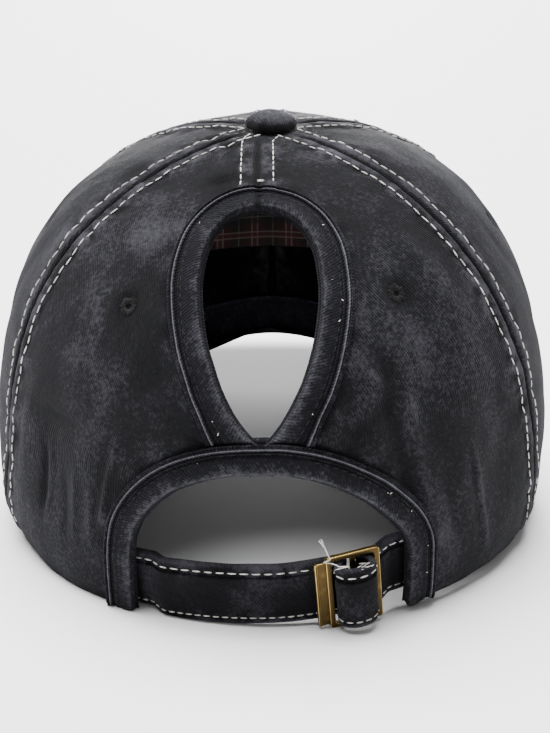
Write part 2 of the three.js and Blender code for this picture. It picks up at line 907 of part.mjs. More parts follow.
// A block under the floor, larger than the cap
function belowFloor({ tilt, heel }) {
  const size = 4 * crown_half_length;
  const block = new THREE.BoxGeometry(size, size, size).translate(0, 0, -size / 2);
  return block.rotateX(-tilt).translate(heel.x, heel.y, heel.z);
}

// Materials
const twill = { color: 0x2c2c30, roughness: 0.95, metalness: 0 };
const tape = { color: 0x333338, roughness: 0.9, metalness: 0 };
const plaid = { color: 0x3a2426, roughness: 0.9, metalness: 0 };
const embroidery = { color: 0x1c1c20, roughness: 0.85, metalness: 0 };
const antique_brass = { color: 0xa87f45, roughness: 0.38, metalness: 1 };

const finishes = {
  hole_binding: tape,
  arch_binding: tape,
  sweatband: tape,
  plaid_lining: plaid,
  buckle: antique_brass,
};

function finishOf(name) {
  return name.startsWith('eyelet') ? embroidery : finishes[name] ?? twill;
}

const parts = pieces();
const floor = restingPlane(parts.buckle, parts.peak);
const flattening = belowFloor(floor);
const cap = new THREE.Group();
for (const [name, geometry] of Object.entries(parts)) {
  const shape = name === 'buckle' ? geometry : cut(geometry, flattening);
  shape.computeVertexNormals();
  const material = new THREE.MeshStandardMaterial({ ...finishOf(name), flatShading: true });
  const mesh = new THREE.Mesh(shape, material);
  mesh.name = name;
  cap.add(mesh);
}

// The cap stands on Z = 0, with its bounding box centred on the Z axis.
cap.rotation.x = floor.tilt;
cap.updateMatrixWorld(true);
const bounds = new THREE.Box3().setFromObject(cap, true);
const middle = bounds.getCenter(new THREE.Vector3());
cap.position.set(-middle.x, -middle.y, -bounds.min.z);

const model = new THREE.Group();
model.add(cap);

export default model;
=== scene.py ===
# %% [markdown]
# A ponytail baseball cap in washed twill, seen from behind. The solid model gives the sizes and
# the place of every piece. This scene dresses each of them in cloth, tape, thread and brass. The
# visible pieces could be the solids themselves, but cloth is thin and full of creases, so each is
# built anew here and takes the place of its solid.

# %% Load the solid model
import bisect
import functools
import math
import random

import bmesh
import bpy
from mathutils import Matrix, Vector, noise
from mathutils.kdtree import KDTree


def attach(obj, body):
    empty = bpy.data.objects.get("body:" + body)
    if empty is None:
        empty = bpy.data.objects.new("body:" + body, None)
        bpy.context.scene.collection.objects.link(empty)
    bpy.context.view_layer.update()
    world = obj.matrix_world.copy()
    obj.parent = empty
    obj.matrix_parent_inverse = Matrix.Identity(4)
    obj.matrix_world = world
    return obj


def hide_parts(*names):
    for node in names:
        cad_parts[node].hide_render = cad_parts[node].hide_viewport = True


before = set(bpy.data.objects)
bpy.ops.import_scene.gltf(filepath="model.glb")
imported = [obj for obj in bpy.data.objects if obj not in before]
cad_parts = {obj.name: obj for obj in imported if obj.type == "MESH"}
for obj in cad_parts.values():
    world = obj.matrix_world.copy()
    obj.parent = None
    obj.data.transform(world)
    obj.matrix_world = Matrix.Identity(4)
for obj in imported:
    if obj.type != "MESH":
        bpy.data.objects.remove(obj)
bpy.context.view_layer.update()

print("solids:", len(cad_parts))

# %% [markdown]
# A cap is easiest to think about with its rim level, in millimetres. A spot on the crown is an
# angle from the back, positive to the right, and a way down from the top. The finished cap is
# tipped back a little, because it rests on its peak and on its back rim. Every piece could be
# turned by hand, but one matrix does it for all of them and turns millimetres into metres.

# %% Sizes of the crown
crown_half_width = 91
crown_half_length = 104.9
dome_height = 107.9
widest_height = 9.5
dome_power = 2.475
rim_draw = 2
below_rim = 2
panel_belly = 2
front_slump = 1.8
slump_turn = 40
slump_reach = 110
rim_wave = 11
wave_reach = 45
fold_depth = 2.4
fold_fade = 15
sweatband_height = 14

cap_tilt = 8.307217
cap_shift = Vector((-0.006252, -31.832386, 8.667620))
to_world = (Matrix.Scale(0.001, 4) @ Matrix.Translation(cap_shift)
            @ Matrix.Rotation(math.radians(cap_tilt), 4, "X"))

back_seam_left = (-57, -64)
back_seam_right = (49, 64)
front_seam = 121
print("crown:", 2 * crown_half_width, "mm wide and", 2 * crown_half_length, "mm long")

# Height of the rim above its mean level, as a share of rim_wave, by angle from the back
wave_rows = [(-180, 0.5), (-160, 0.15), (-118, -0.8), (-72, 0.14), (-36, 0.12), (0, 0.22),
             (27, 0.56), (64, 0.14), (118, -0.8), (160, 0.15), (180, 0.5)]

# Large soft folds: angle, share of the drop, width in degrees, height as a share, depth as a share
fold_rows = [(-45, 0.8, 7, 0.13, -1), (-66, 0.78, 8, 0.15, -0.7), (32, 0.62, 7, 0.12, -0.8),
             (48, 0.78, 7, 0.14, -0.9), (84, 0.86, 11, 0.06, 0.5)]


# %% [markdown]
# Four small functions do the shaping all through the lesson: one mixes two values, one eases from
# 0 to 1, one is a soft bump and one gives evenly spaced shares. A sculpting brush could shape the
# cloth too. Bumps and eases that are added up were chosen because each fold stays easy to move.

# %% Small helpers
def mix(start, end, share):
    return start + (end - start) * share


def smooth(share):
    t = min(1, max(0, share))
    return t * t * (3 - 2 * t)


def bell(distance, width):
    return math.exp(-(distance / width) ** 2)


def shares(count):
    return [i / count for i in range(count + 1)]


print("eased shares:", [round(smooth(share), 2) for share in shares(4)])

# %% [markdown]
# The crown is the dome of the cap. Its profile is a superellipse, an oval with fuller shoulders,
# from the button to the widest level, and then it draws in a little towards the rim. A lathe or
# the screw modifier could turn it, but the ways down have to be known in millimetres for the
# stitches, so the profile is kept as a list of levels, and a level between two of them is mixed.

# %% The crown's surface
profile_steps = 500
levels = []
for share in shares(profile_steps):
    turn = share * math.pi / 2
    levels.append((math.sin(turn) ** (2 / dome_power),
                   widest_height + dome_height * max(0, math.cos(turn)) ** (2 / dome_power)))
for share in shares(profile_steps)[1:]:
    fall = share * below_rim
    levels.append((1 - rim_draw / crown_half_length * fall ** 2, widest_height * (1 - fall)))
level_downs = [0]
for (radius_a, height_a), (radius_b, height_b) in zip(levels, levels[1:]):
    step = math.hypot((radius_b - radius_a) * crown_half_length, height_b - height_a)
    level_downs.append(level_downs[-1] + step)


def level(down):
    low = min(len(levels) - 1, max(1, bisect.bisect_left(level_downs, down)))
    share = (down - level_downs[low - 1]) / (level_downs[low] - level_downs[low - 1])
    (radius_a, height_a), (radius_b, height_b) = levels[low - 1], levels[low]
    return mix(radius_a, radius_b, share), mix(height_a, height_b, share)


def down_at(height):
    low = next(i for i, (_, level_height) in enumerate(levels) if level_height <= height)
    share = (levels[low - 1][1] - height) / (levels[low - 1][1] - levels[low][1])
    return mix(level_downs[low - 1], level_downs[low], share)


drop = down_at(0)
print("way from the button to the rim:", round(drop, 1), "mm")


def angle_at(side, down):
    reach = crown_half_width * level(down)[0]
    return math.asin(max(-1, min(1, side / reach)))


# %% [markdown]
# Six panels meet in seams that run from the button to the rim. Between the seams the washed cloth
# swells, sags and folds, and its rim waves up and down. Each of these is a formula of the angle
# and the way down. Modifiers could bend the finished cap instead, but every other piece has to
# lie on the same surface, and a formula can be asked for any spot of it.

# %% Seams, folds and waves of the crown
hole_top = 52.5
hole_shift = -2.6
centre_lean = -3.8
centre_lean_start = 16
binding_width = 7.3


def seam_back_left(down):
    return math.radians(mix(*back_seam_left, down / drop))


def seam_back_right(down):
    return math.radians(mix(*back_seam_right, down / drop))


def seam_centre(down):
    lean = centre_lean * smooth(down / centre_lean_start)
    return angle_at(mix(lean, hole_shift, smooth((down - hole_top) / binding_width + 1)), down)


def seam_front_left(down):
    return math.radians(-front_seam)


def seam_front_right(down):
    return math.radians(front_seam)


def seam_front(down):
    return math.pi


wave_angles = [angle for angle, _ in wave_rows]
wave_slopes = [(b[1] - a[1]) / (b[0] - a[0]) for a, b in zip(wave_rows, wave_rows[2:])]
wave_slopes = [0] + wave_slopes + [0]


def wave_of_rim(angle):
    degrees = math.degrees(angle)
    high = min(len(wave_rows) - 1, max(1, bisect.bisect_left(wave_angles, degrees)))
    (start, start_lift), (end, end_lift) = wave_rows[high - 1], wave_rows[high]
    t = (degrees - start) / (end - start)
    bend = t * (1 - t) * (end - start) * ((1 - t) * wave_slopes[high - 1] - t * wave_slopes[high])
    return rim_wave * (mix(start_lift, end_lift, smooth(t)) + bend)


@functools.lru_cache(maxsize=None)
def level_facts(down):
    """What all spots of one level share: its seams, how much it sags and waves, and its folds."""
    edges = [-math.pi, seam_front_left(down), seam_back_left(down), 0,
             seam_back_right(down), seam_front_right(down), math.pi]
    sag = panel_belly * math.sin(math.pi * min(1, down / drop))
    sink = front_slump * math.sin(math.pi * min(1, down / slump_reach)) ** 2 / 2
    waving = smooth((down - drop + wave_reach) / wave_reach)
    fade = fold_depth * smooth((drop - down - sweatband_height) / fold_fade)
    near = [(math.radians(middle), math.radians(wide), depth * fade * bell(down / drop - low, tall))
            for middle, low, wide, tall, depth in fold_rows]
    return (*level(down), edges, sag, sink, waving, near)


def place(angle, down):
    """A point of the plain crown, in millimetres with the rim level."""
    angle = math.remainder(angle, 2 * math.pi)
    radius, height, edges, sag, sink, waving, near = level_facts(down)
    high = min(len(edges) - 1, max(1, bisect.bisect_left(edges, angle)))
    across = (angle - edges[high - 1]) / (edges[high] - edges[high - 1])
    swell = sag * (2 / 3 - 4 * across * (1 - across))
    for middle, wide, depth in near:
        if abs(depth) > 0.002:
            swell += depth * bell(angle - middle, wide)
    swell *= radius
    height -= sink * (1 - math.cos(angle - math.radians(slump_turn)))
    if waving:
        height += wave_of_rim(angle) * waving
    return Vector(((crown_half_width * radius + swell) * math.sin(angle),
                   -(crown_half_length * radius + swell) * math.cos(angle), height))


probe_angle = 0.004
probe_down = 0.5


def slopes(angle, down):
    """Change of place per radian round and per millimetre down, and the way out of the cloth."""
    right = (place(angle + probe_angle, down) - place(angle - probe_angle, down)) / (2 * probe_angle)
    fall = (place(angle, down + probe_down) - place(angle, down - probe_down)) / (2 * probe_down)
    return right, fall, fall.cross(right).normalized()


def raised(angle, down, lift):
    return place(angle, down) + slopes(angle, down)[2] * lift


def walk(angle, down, direction, distance):
    """The spot reached by walking over the cloth in a direction."""
    right, fall, _ = slopes(angle, down)
    rr, ff, rf = right.dot(right), fall.dot(fall), right.dot(fall)
    dr, df = direction.dot(right), direction.dot(fall)
    area = rr * ff - rf * rf
    return (angle + distance * (dr * ff - df * rf) / area,
            down + distance * (df * rr - dr * rf) / area)


print("rim at the back:", [round(value, 1) for value in place(0, drop)])

# %% [markdown]
# Two openings are cut in the back: a teardrop that a ponytail comes through, and an arch above
# the strap. Each is a run of spots, clockwise as seen from behind, spaced evenly along its edge.
# A drawn curve would do as well, but with powers of a share the roundness is a single number.

# %% Edges of the openings
hole_half_width = 16.5
hole_top_power = 0.5
hole_tip_power = 0.7
hole_tuck = 0.3
arch_height = 54
arch_half_width = 38.5
arch_spring = 22
arch_power_left = 2.1
arch_power_right = 1.75
panel_thickness = 1.2
arch_top = drop - arch_height
hole_tip = arch_top - binding_width + hole_tuck


def hole_spot(side, share):
    widest = hole_top_power / (hole_top_power + hole_tip_power)
    rise = (share / widest) ** hole_top_power
    close = ((1 - share) / (1 - widest)) ** hole_tip_power
    down = mix(hole_top, hole_tip, share)
    return angle_at(hole_shift + side * hole_half_width * rise * close, down), down


def arch_bow_spot(side, share):
    power = 2 / (arch_power_left if side < 0 else arch_power_right)
    turn = share * math.pi / 2
    down = drop - mix(arch_spring, arch_height, max(0, math.cos(turn)) ** power)
    return angle_at(side * arch_half_width * math.sin(turn) ** power, down), down


def arch_leg_spot(side, share):
    down = mix(drop - arch_spring, drop, share)
    return angle_at(side * arch_half_width, down), down


def eased(share):
    return (1 - math.cos(math.pi * share)) / 2


def evenly(spots, count):
    """The same run of spots, spaced evenly along its length."""
    points = [place(*spot) for spot in spots]
    way = [0]
    for a, b in zip(points, points[1:]):
        way.append(way[-1] + (b - a).length)
    even = []
    for share in shares(count):
        target = share * way[-1]
        high = min(len(way) - 1, max(1, bisect.bisect_left(way, target)))
        t = (target - way[high - 1]) / (way[high] - way[high - 1])
        a, b = spots[high - 1], spots[high]
        even.append((mix(a[0], b[0], t), mix(a[1], b[1], t)))
    return even, way[-1]


fine = shares(240)
hole_spots = ([hole_spot(-1, eased(1 - s)) for s in fine] + [hole_spot(1, eased(s)) for s in fine[1:]])
arch_spots = ([arch_leg_spot(-1, 1 - s) for s in fine] + [arch_bow_spot(-1, 1 - s) for s in fine[1:]]
              + [arch_bow_spot(1, s) for s in fine[1:]] + [arch_leg_spot(1, s) for s in fine[1:]])
hole_run, hole_length = evenly(hole_spots, 360)
arch_run, arch_length = evenly(arch_spots, 360)
print("tape round the hole:", round(hole_length), "mm, round the arch:", round(arch_length), "mm")


def away(spots, i):
    """The way over the cloth, away from the opening."""
    along = place(*spots[min(len(spots) - 1, i + 1)]) - place(*spots[max(0, i - 1)])
    return slopes(*spots[i])[2].cross(along).normalized()


# %% [markdown]
# Cloth never lies smooth, and most of its creases start at a seam, at the edge of an opening or
# at an eyelet. So the first thing to know about a spot is which of them is near. Measuring to
# every point of every seam would be slow. A tree of points finds the nearest one at once, and
# the large creases that the washing left are rows of a table, each with both of its ends.

# %% Where the seams and the openings run
crown_eye = 2.3
seam_step = 0.8
seam_lines = {"back_left": seam_back_left, "back_right": seam_back_right,
              "front_left": seam_front_left, "front_right": seam_front_right, "front": seam_front}


def line_points(seam, end):
    count = int((end - crown_eye) / seam_step)
    return [place(seam(down), down) for down in (mix(crown_eye, end, s) for s in shares(count))]


def tree_of(runs):
    """A tree that finds the nearest point of several lines, and the way along its line."""
    ways = []
    for number, points in enumerate(runs):
        way = number * 1000
        for a, b in zip(points, points[1:] + points[-1:]):
            ways.append((a, way))
            way += (b - a).length
    tree = KDTree(len(ways))
    for i, (point, _) in enumerate(ways):
        tree.insert(point, i)
    tree.balance()
    return tree, [way for _, way in ways]


seam_runs = [line_points(seam, drop) for seam in seam_lines.values()] + [line_points(seam_centre, hole_top)]
seam_tree, seam_ways = tree_of(seam_runs)
edge_tree, edge_ways = tree_of([[place(*spot) for spot in hole_run], [place(*spot) for spot in arch_run]])

# Creases of the washed cloth: both ends as an angle and a way down, half width and height in mm
crease_rows = [
    (-48, 141, -48, 160, 1.8, -0.9), (-46.6, 139, -46.8, 161, 1.2, 0.5), (-29, 128, -31.5, 151, 1.0, 0.75),
    (-30.5, 130, -33, 152, 2.2, -0.5), (-34.5, 145, -34, 160, 1.2, 0.5), (-39, 142, -38, 164, 1.4, 0.45),
    (-42, 146, -40.5, 166, 1.6, -0.45), (-56, 128, -58, 150, 2.6, -0.6),
    (23, 104, 22.5, 120, 3.0, -1.0), (22.5, 118, 25.5, 146, 2.8, -0.9), (27.2, 112, 28.5, 146, 1.8, 0.6),
    (16.5, 101, 21.5, 111, 2.6, 0.7), (9, 121, 21, 112, 3.4, 0.7), (14, 122, 22, 116, 2.6, -0.5),
    (41, 138, 43.5, 169, 1.0, 0.7), (39.6, 138, 42, 168, 2.0, -0.45), (33, 140, 35, 158, 2.6, -0.4),
    (-26, 40, -17.5, 46, 4.5, -1.3), (-14, 48, -11, 54, 2.6, -0.5), (-36, 76, -31, 62, 5.0, 0.4),
    (-30, 84, -27, 68, 4.0, -0.5), (36, 70, 44, 92, 4.5, 0.5), (13, 60, 20, 78, 4.0, -0.45),
    (-75, 90, -84, 130, 4.5, -0.8), (-100, 70, -96, 120, 5.0, 0.8), (74, 84, 84, 128, 4.5, -0.8),
    (100, 70, 94, 118, 5.0, 0.7), (-140, 60, -150, 110, 6.0, -0.7), (140, 66, 152, 112, 6.0, 0.7),
    (-126, 90, -132, 130, 5.0, 0.7), (128, 84, 134, 126, 5.0, -0.7)]

# Eyelets: the name of the panel, the angle from the back and the way down from the top
eyelet_rows = [("back_left", -33, 91), ("back_right", 30.5, 86.45), ("side_left", -91, 91),
               ("side_right", 91, 91), ("front_left", -150, 91), ("front_right", 150, 91)]
eyelet_tree, _ = tree_of([[place(math.radians(degrees), down)] for _, degrees, down in eyelet_rows])
print("points on the seams:", len(seam_ways), "and on the edges:", len(edge_ways))

# %% [markdown]
# The allowance under each seam makes a raised band with a crease in its middle, and the stitches
# pull small puckers along both sides. One function gives the height of all that and also how worn
# the cloth is, because the dye rubs off whatever stands proud, and the painted shade that darkens
# its creases, grooves and the dimples round the eyelets. A displacement in the material could
# raise the cloth too, but vertices show in the outline, and stitches can be laid on them.

# %% Height and wear of the cloth
stitch_row = 4.7
tape_reach = 6.8
# Heights in mm: the band over a seam's allowance, the crease in its middle, the groove under the
# stitches, the puckers beside them, those along a tape, the dimple of an eyelet, the soft swell
seam_band = 0.55
seam_crease = 0.85
stitch_groove = 0.3
short_pucker = 0.55
long_pucker = 0.5
tape_pucker = 0.7
tape_groove = 0.5
eyelet_dimple = 0.9
soft_swell = 0.5
lint_swell = 0.05
# Wear and painted shade from -1, painted shade dark in a fold, to 1, rubbed grey on a ridge
# A crease's ridge is rubbed lighter, and its fold is darkened with painted shade
crease_wear_and_shade = 0.38
swell_wear = 0.22
creases = []
for angle_a, down_a, angle_b, down_b, width, height in crease_rows:
    start, end = place(math.radians(angle_a), down_a), place(math.radians(angle_b), down_b)
    creases.append((start, end, width, height, (start + end) / 2, 0.8 * (end - start).length + 2 * width))


def ripple(x, y, size, seed):
    return noise.noise(Vector((x / size, y / size, seed)))


def relief(point, down):
    """Height of the cloth above the plain crown in mm, and its wear and painted shade from -1 to 1."""
    _, index, gap = seam_tree.find(point)
    way = seam_ways[index]
    _, edge_index, edge_gap = edge_tree.find(point)
    edge_way = edge_ways[edge_index]
    beside = edge_gap - binding_width
    top = smooth((down - 9) / 12)
    open_cloth = smooth((edge_gap - tape_reach) / 3)

    band = smooth((gap - 0.2) / 1.3) * smooth((stitch_row + 1.2 - gap) / 1.6)
    short = ripple(way, gap, 3.1, 1.7) * bell(gap - stitch_row, 3.4)
    long = ripple(way, gap * 0.35, 7.5, 4.1) * bell(gap - 6, 6)
    groove = seam_crease * bell(gap, 0.8) + stitch_groove * bell(gap - stitch_row, 0.7)
    height = top * (seam_band * band - groove + short_pucker * short + long_pucker * long)
    # The seam's raised band is rubbed lighter, the crease in its middle is painted shade, and the puckers
    # are lighter on top with painted shade in their hollows
    wear_and_shade = top * (0.3 * band - 0.8 * bell(gap, 0.9) + 1.0 * short + 0.6 * long)

    along_tape = ripple(edge_way, beside * 0.4, 4.5, 8.3) * bell(beside - 1, 4.5)
    height += tape_pucker * along_tape - tape_groove * bell(beside, 1.1)
    # Painted shade in the groove just outside the tape's edge; the puckers beside the tape are lighter on
    # top with painted shade in their hollows
    wear_and_shade += 0.5 * along_tape - 0.6 * bell(beside, 1.4)
    from_eyelet = eyelet_tree.find(point)[2]
    height -= eyelet_dimple * bell(from_eyelet, 3.6)
    # Painted shade in the dimple round each eyelet
    wear_and_shade -= 1.2 * bell(from_eyelet, 3.9)

    for start, end, width, depth, middle, reach in creases:
        if (point - middle).length > reach:
            continue
        line = end - start
        along = (point - start).dot(line) / line.length_squared
        if -0.3 < along < 1.3:
            off = (point - start - line * along).length
            if off < 3 * width:
                fade = bell(max(0, abs(along - 0.5) - 0.25), 0.3)
                bump = depth * fade * bell(off, width)
                height += bump
                # Lighter on a crease's ridge, rubbed, and darker in its fold with painted shade
                wear_and_shade += crease_wear_and_shade * bump
    soft = noise.noise(point / 26) + 0.45 * noise.noise(point / 9)
    height += soft_swell * soft + lint_swell * noise.noise(point / 2.6)
    wear_and_shade += swell_wear * soft
    return height * open_cloth, wear_and_shade


def cloth_spot(angle, down, lift=0):
    """A point on the creased cloth, and the way out of it."""
    base = place(angle, down)
    out = slopes(angle, down)[2]
    return base + out * (relief(base, down)[0] + lift), out


print("height and wear at an eyelet:",
      [round(value, 2) for value in relief(place(math.radians(30.5), 86.45), 86.45)])

# %% [markdown]
# Every cloth piece starts as a flat grid. A function takes each vertex of the grid, by its share
# across and up, to its place on the cap. It also gives the place in the cut cloth, so that a weave
# keeps its true size, and the wear and painted shade. Solidify then gives the sheet its thickness,
# inwards. A cloth simulation could drape it, but a sewn cap is stiff, and here every crease must be
# where it is.

# %% From a flat grid to a piece
millimetre = 0.001
floor_clearance = 0.05 * millimetre
weld_distance = 0.02 * millimetre


def finish_piece(name, bm, material, replaced, thickness=0):
    mesh = bpy.data.meshes.new(name)
    for face in bm.faces:
        face.smooth = True
    bm.to_mesh(mesh)
    bm.free()
    mesh.materials.append(material)
    piece = bpy.data.objects.new(name, mesh)
    bpy.context.collection.objects.link(piece)
    if thickness:
        wall = piece.modifiers.new("wall", "SOLIDIFY")
        wall.thickness = thickness * millimetre
        wall.offset = -1
    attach(piece, "root")
    if replaced:
        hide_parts(*replaced)
    print(name, len(mesh.vertices), "vertices")
    return piece


def shaped_grid(columns, rows, where, closed=False):
    """A grid moved by where(u, v), which gives a point, a place in the cut cloth and the wear and painted
    shade.
    """
    bm = bmesh.new()
    bmesh.ops.create_grid(bm, x_segments=columns, y_segments=rows, size=0.5)
    wear_and_shade = bm.verts.layers.float.new("wear_and_shade")
    cut = bm.loops.layers.uv.new("cut")
    flat = {}
    for vert in bm.verts:
        point, (across, up), worn = where(vert.co.x + 0.5, vert.co.y + 0.5)
        vert.co = to_world @ point
        vert.co.z = max(vert.co.z, floor_clearance)
        vert[wear_and_shade] = worn
        flat[vert] = (across * millimetre, up * millimetre)
    for face in bm.faces:
        for loop in face.loops:
            loop[cut].uv = flat[loop.vert]
    if closed:
        bmesh.ops.remove_doubles(bm, verts=bm.verts[:], dist=weld_distance)
        rim = [edge for edge in bm.edges if edge.is_boundary]
        bmesh.ops.holes_fill(bm, edges=rim, sides=0)
        bmesh.ops.recalc_face_normals(bm, faces=bm.faces[:])
    return bm


def face_outwards(bm, middle):
    """Turns an open sheet so that its faces look away from a point inside the cap."""
    votes = sum(face.normal.dot(face.calc_center_median() - middle) > 0 for face in bm.faces)
    if votes < len(bm.faces) / 2:
        bmesh.ops.reverse_faces(bm, faces=bm.faces[:])


inside = to_world @ Vector((0, 0, 20))
print("a point inside the cap:", [round(value, 3) for value in inside])

# %% [markdown]
# A material is a small graph of nodes. It could be drawn by hand in the shader editor. In a
# script one function adds a node, gives it its settings and joins its inputs to values or to the
# outputs of other nodes, so a material reads from top to bottom like a list of its layers.

# %% Nodes and colours
def add(tree, kind, inputs=None, **settings):
    made = tree.nodes.new(kind)
    for setting, value in settings.items():
        setattr(made, setting, value)
    for socket, value in (inputs or {}).items():
        if isinstance(value, bpy.types.Node):
            value = value.outputs[0]
        if isinstance(value, bpy.types.NodeSocket):
            tree.links.new(value, made.inputs[socket])
        else:
            made.inputs[socket].default_value = value
    return made


def linear(hex_colour):
    """An sRGB colour such as 2C2C30 as linear red, green, blue and alpha."""
    channels = [int(hex_colour[i:i + 2], 16) / 255 for i in (0, 2, 4)]
    return tuple(c / 12.92 if c <= 0.04045 else ((c + 0.055) / 1.055) ** 2.4 for c in channels) + (1,)


def new_material(name):
    material = bpy.data.materials.new(name)
    material.use_nodes = True
    tree = material.node_tree
    tree.nodes.clear()
    return material, tree


print("charcoal in linear light:", [round(value, 4) for value in linear("2C2C30")[:3]])

# %% [markdown]
# Washed twill is cotton woven with a diagonal rib, dyed charcoal and then tumbled with stones.
# The dye wears off the ridges, and the creases and grooves are darkened with painted shade, so the
# colour follows the wear and painted shade that each vertex carries. Cloudy noise breaks it up,
# stretched down the panels as the washing streaks them.
# A photograph of cloth could be wrapped on, but it wouldn't know where this cap's creases are.

# %% Washed twill
# The ribs of a cap's twill lie about 0.5 mm apart. They are drawn coarser, at 0.75 mm, because
# finer ones would be lost between two pixels.
twill_pitch = 0.75
# A diagonal wave texture of scale 1 repeats after this distance
wave_unit = 0.444
rib_turn = 15
cloud_weight = 1.5
fuzz_weight = 1.9
rib_weight = 0.16
# Clouds of the wash are about 21 mm across. The fuzz of loose fibres is finer than 0.3 mm on the
# real cloth and is drawn coarser, at about 1.2 mm, so that it shows
clouds_per_metre = 48
fuzz_per_metre = 850
twill_relief = 0.22


# Cotton twill, dyed in the piece and stonewashed: darkened with painted shade in the creases, grey
# and fuzzy where it is rubbed, and with no shine but the faint sheen of loose fibres, which tells
# the eye that it's soft
def cloth_material(name, deep, middle, worn, cloudiness=1.0):
    material, tree = new_material(name)
    spot = add(tree, "ShaderNodeTexCoord").outputs["Object"]
    cut = add(tree, "ShaderNodeUVMap", uv_map="cut")
    wear_and_shade = add(tree, "ShaderNodeAttribute", attribute_name="wear_and_shade").outputs["Fac"]
    streaks = add(tree, "ShaderNodeMapping", {0: spot, "Scale": (1, 1, 0.5)})
    clouds = add(tree, "ShaderNodeTexNoise",
                 {"Vector": streaks, "Scale": clouds_per_metre, "Detail": 5, "Roughness": 0.62})
    fuzz = add(tree, "ShaderNodeTexNoise",
               {"Vector": spot, "Scale": fuzz_per_metre, "Detail": 3, "Roughness": 0.75})
    slope = add(tree, "ShaderNodeMapping", {0: cut, "Rotation": (0, 0, math.radians(rib_turn))})
    rib = add(tree, "ShaderNodeTexWave",
              {"Vector": slope, "Scale": wave_unit / (twill_pitch * millimetre), "Distortion": 1.5,
               "Detail": 1, "Detail Scale": 2}, bands_direction="DIAGONAL")
    tone = wear_and_shade
    weights = [(clouds, cloud_weight * cloudiness), (fuzz, fuzz_weight), (rib, rib_weight)]
    for pattern, weight in weights:
        tone = add(tree, "ShaderNodeMath", {0: pattern, 1: weight, 2: tone}, operation="MULTIPLY_ADD")
    even = sum(weight for _, weight in weights) / 2
    # Low tones bring in the deep colour: random clouds of the wash, and painted shade where the channel is
    # negative in creases, grooves and hollows
    dye_and_shade = add(tree, "ShaderNodeMapRange", {"Value": tone, "From Min": even - 1.0, "From Max": even + 0.4},
               interpolation_type="SMOOTHSTEP")
    rubbed = add(tree, "ShaderNodeMapRange", {"Value": tone, "From Min": even, "From Max": even + 1.8})
    dark = add(tree, "ShaderNodeMix", {0: dye_and_shade, 6: linear(deep), 7: linear(middle)},
               data_type="RGBA").outputs[2]
    colour = add(tree, "ShaderNodeMix", {0: rubbed, 6: dark, 7: linear(worn)},
                 data_type="RGBA").outputs[2]
    height = add(tree, "ShaderNodeMath", {0: fuzz, 1: 2.0, 2: rib}, operation="MULTIPLY_ADD")
    bump = add(tree, "ShaderNodeBump",
               {"Strength": 0.5, "Distance": twill_relief * millimetre, "Height": height})
    surface = add(tree, "ShaderNodeBsdfPrincipled",
                  {"Base Color": colour, "Normal": bump, "Roughness": 0.95, "Specular IOR Level": 0.1,
                   "Sheen Weight": 0.05, "Sheen Roughness": 0.45, "Sheen Tint": linear("B9B9C4")})
    add(tree, "ShaderNodeOutputMaterial", {"Surface": surface})
    return material


# The panels are cloudy from the wash. Folded tape and strap are denser, so they took the dye more
# evenly, and the band inside was hardly rubbed
washed_twill = cloth_material("washed_twill", "060607", "161619", "504F56", cloudiness=1.3)
twill_tape = cloth_material("washed_twill_tape", "070709", "17171B", "5A5960", cloudiness=0.8)
strap_twill = cloth_material("strap_twill", "060607", "121215", "46454C", cloudiness=0.8)
band_twill = cloth_material("sweatband_twill", "16161C", "363640", "62626E", cloudiness=0.6)
print("twill materials:", [cloth.name for cloth in (washed_twill, twill_tape, strap_twill, band_twill)])


# %% [markdown]
# The crown is sewn from six panels. One dome with painted seams would be quicker, but real panels
# are pieces of their own. Each one is a grid from seam to seam, and neighbours lap over each
# other by a hair, so that no light comes through a seam.

# %% The side and front panels
seam_overlap = 0.12
cloth_radius = 95


def spread(angle, down):
    return slopes(angle, down)[0].length


def panel_point(start, end, share, down):
    """A spot between two seams, its place in the cut cloth and its wear and painted shade."""
    lap = seam_overlap / 2 / max(1, crown_half_width * level(down)[0])
    angle = mix(start - lap, end + lap, share)
    base = place(angle, down)
    height, worn = relief(base, down)
    across = (angle - (start + end) / 2) * cloth_radius * level(down)[0]
    return base + slopes(angle, down)[2] * height, (across, -down), worn


def wall_panel(name, start, end, columns, rows):
    def where(u, v):
        down = mix(drop, crown_eye, v)
        return panel_point(start(down), end(down), u, down)

    bm = shaped_grid(columns, rows, where)
    face_outwards(bm, inside)
    return finish_piece("cloth_" + name, bm, washed_twill, ["panel_" + name],
                        thickness=panel_thickness)


wall_panel("side_left", seam_front_left, seam_back_left, columns=100, rows=150)
wall_panel("side_right", seam_back_right, seam_front_right, columns=100, rows=150)
wall_panel("front_left", lambda down: -math.pi, seam_front_left, columns=84, rows=130)
wall_panel("front_right", seam_front_right, seam_front, columns=84, rows=130)

# %% [markdown]
# The two back panels are cut away for the openings. A boolean could cut them, but it leaves a
# ragged grid. Here the inner edge of each grid is a run of spots that goes down the middle seam,
# round the hole and round the arch, so the rows of the grid follow the openings.

# %% The back panels
edge_clearance = 1.3
back_columns = 92
back_rows = 250


def outset(spots, distance, stride=3):
    return [walk(*spots[i], away(spots, i), distance) for i in range(0, len(spots), stride)]


hole_border = outset(hole_run, edge_clearance)
arch_border = outset(arch_run, edge_clearance)


def from_top(border, side):
    """One side of an opening's border, from its top down."""
    top = min(range(len(border)), key=lambda i: border[i][1])
    return border[:top + 1][::-1] if side < 0 else border[top:]


def back_edge(side):
    """Inner edge of a back panel, from the button to the rim."""
    seam = [(seam_centre(down), down) for down in
            (mix(crown_eye, hole_top - edge_clearance, s) for s in shares(60))][:-1]
    hole = from_top(hole_border, side)
    arch = from_top(arch_border, side)
    hole = [spot for spot in hole if spot[1] < arch[0][1] - 0.3]
    spots, _ = evenly(seam + hole + arch, back_rows)
    return spots


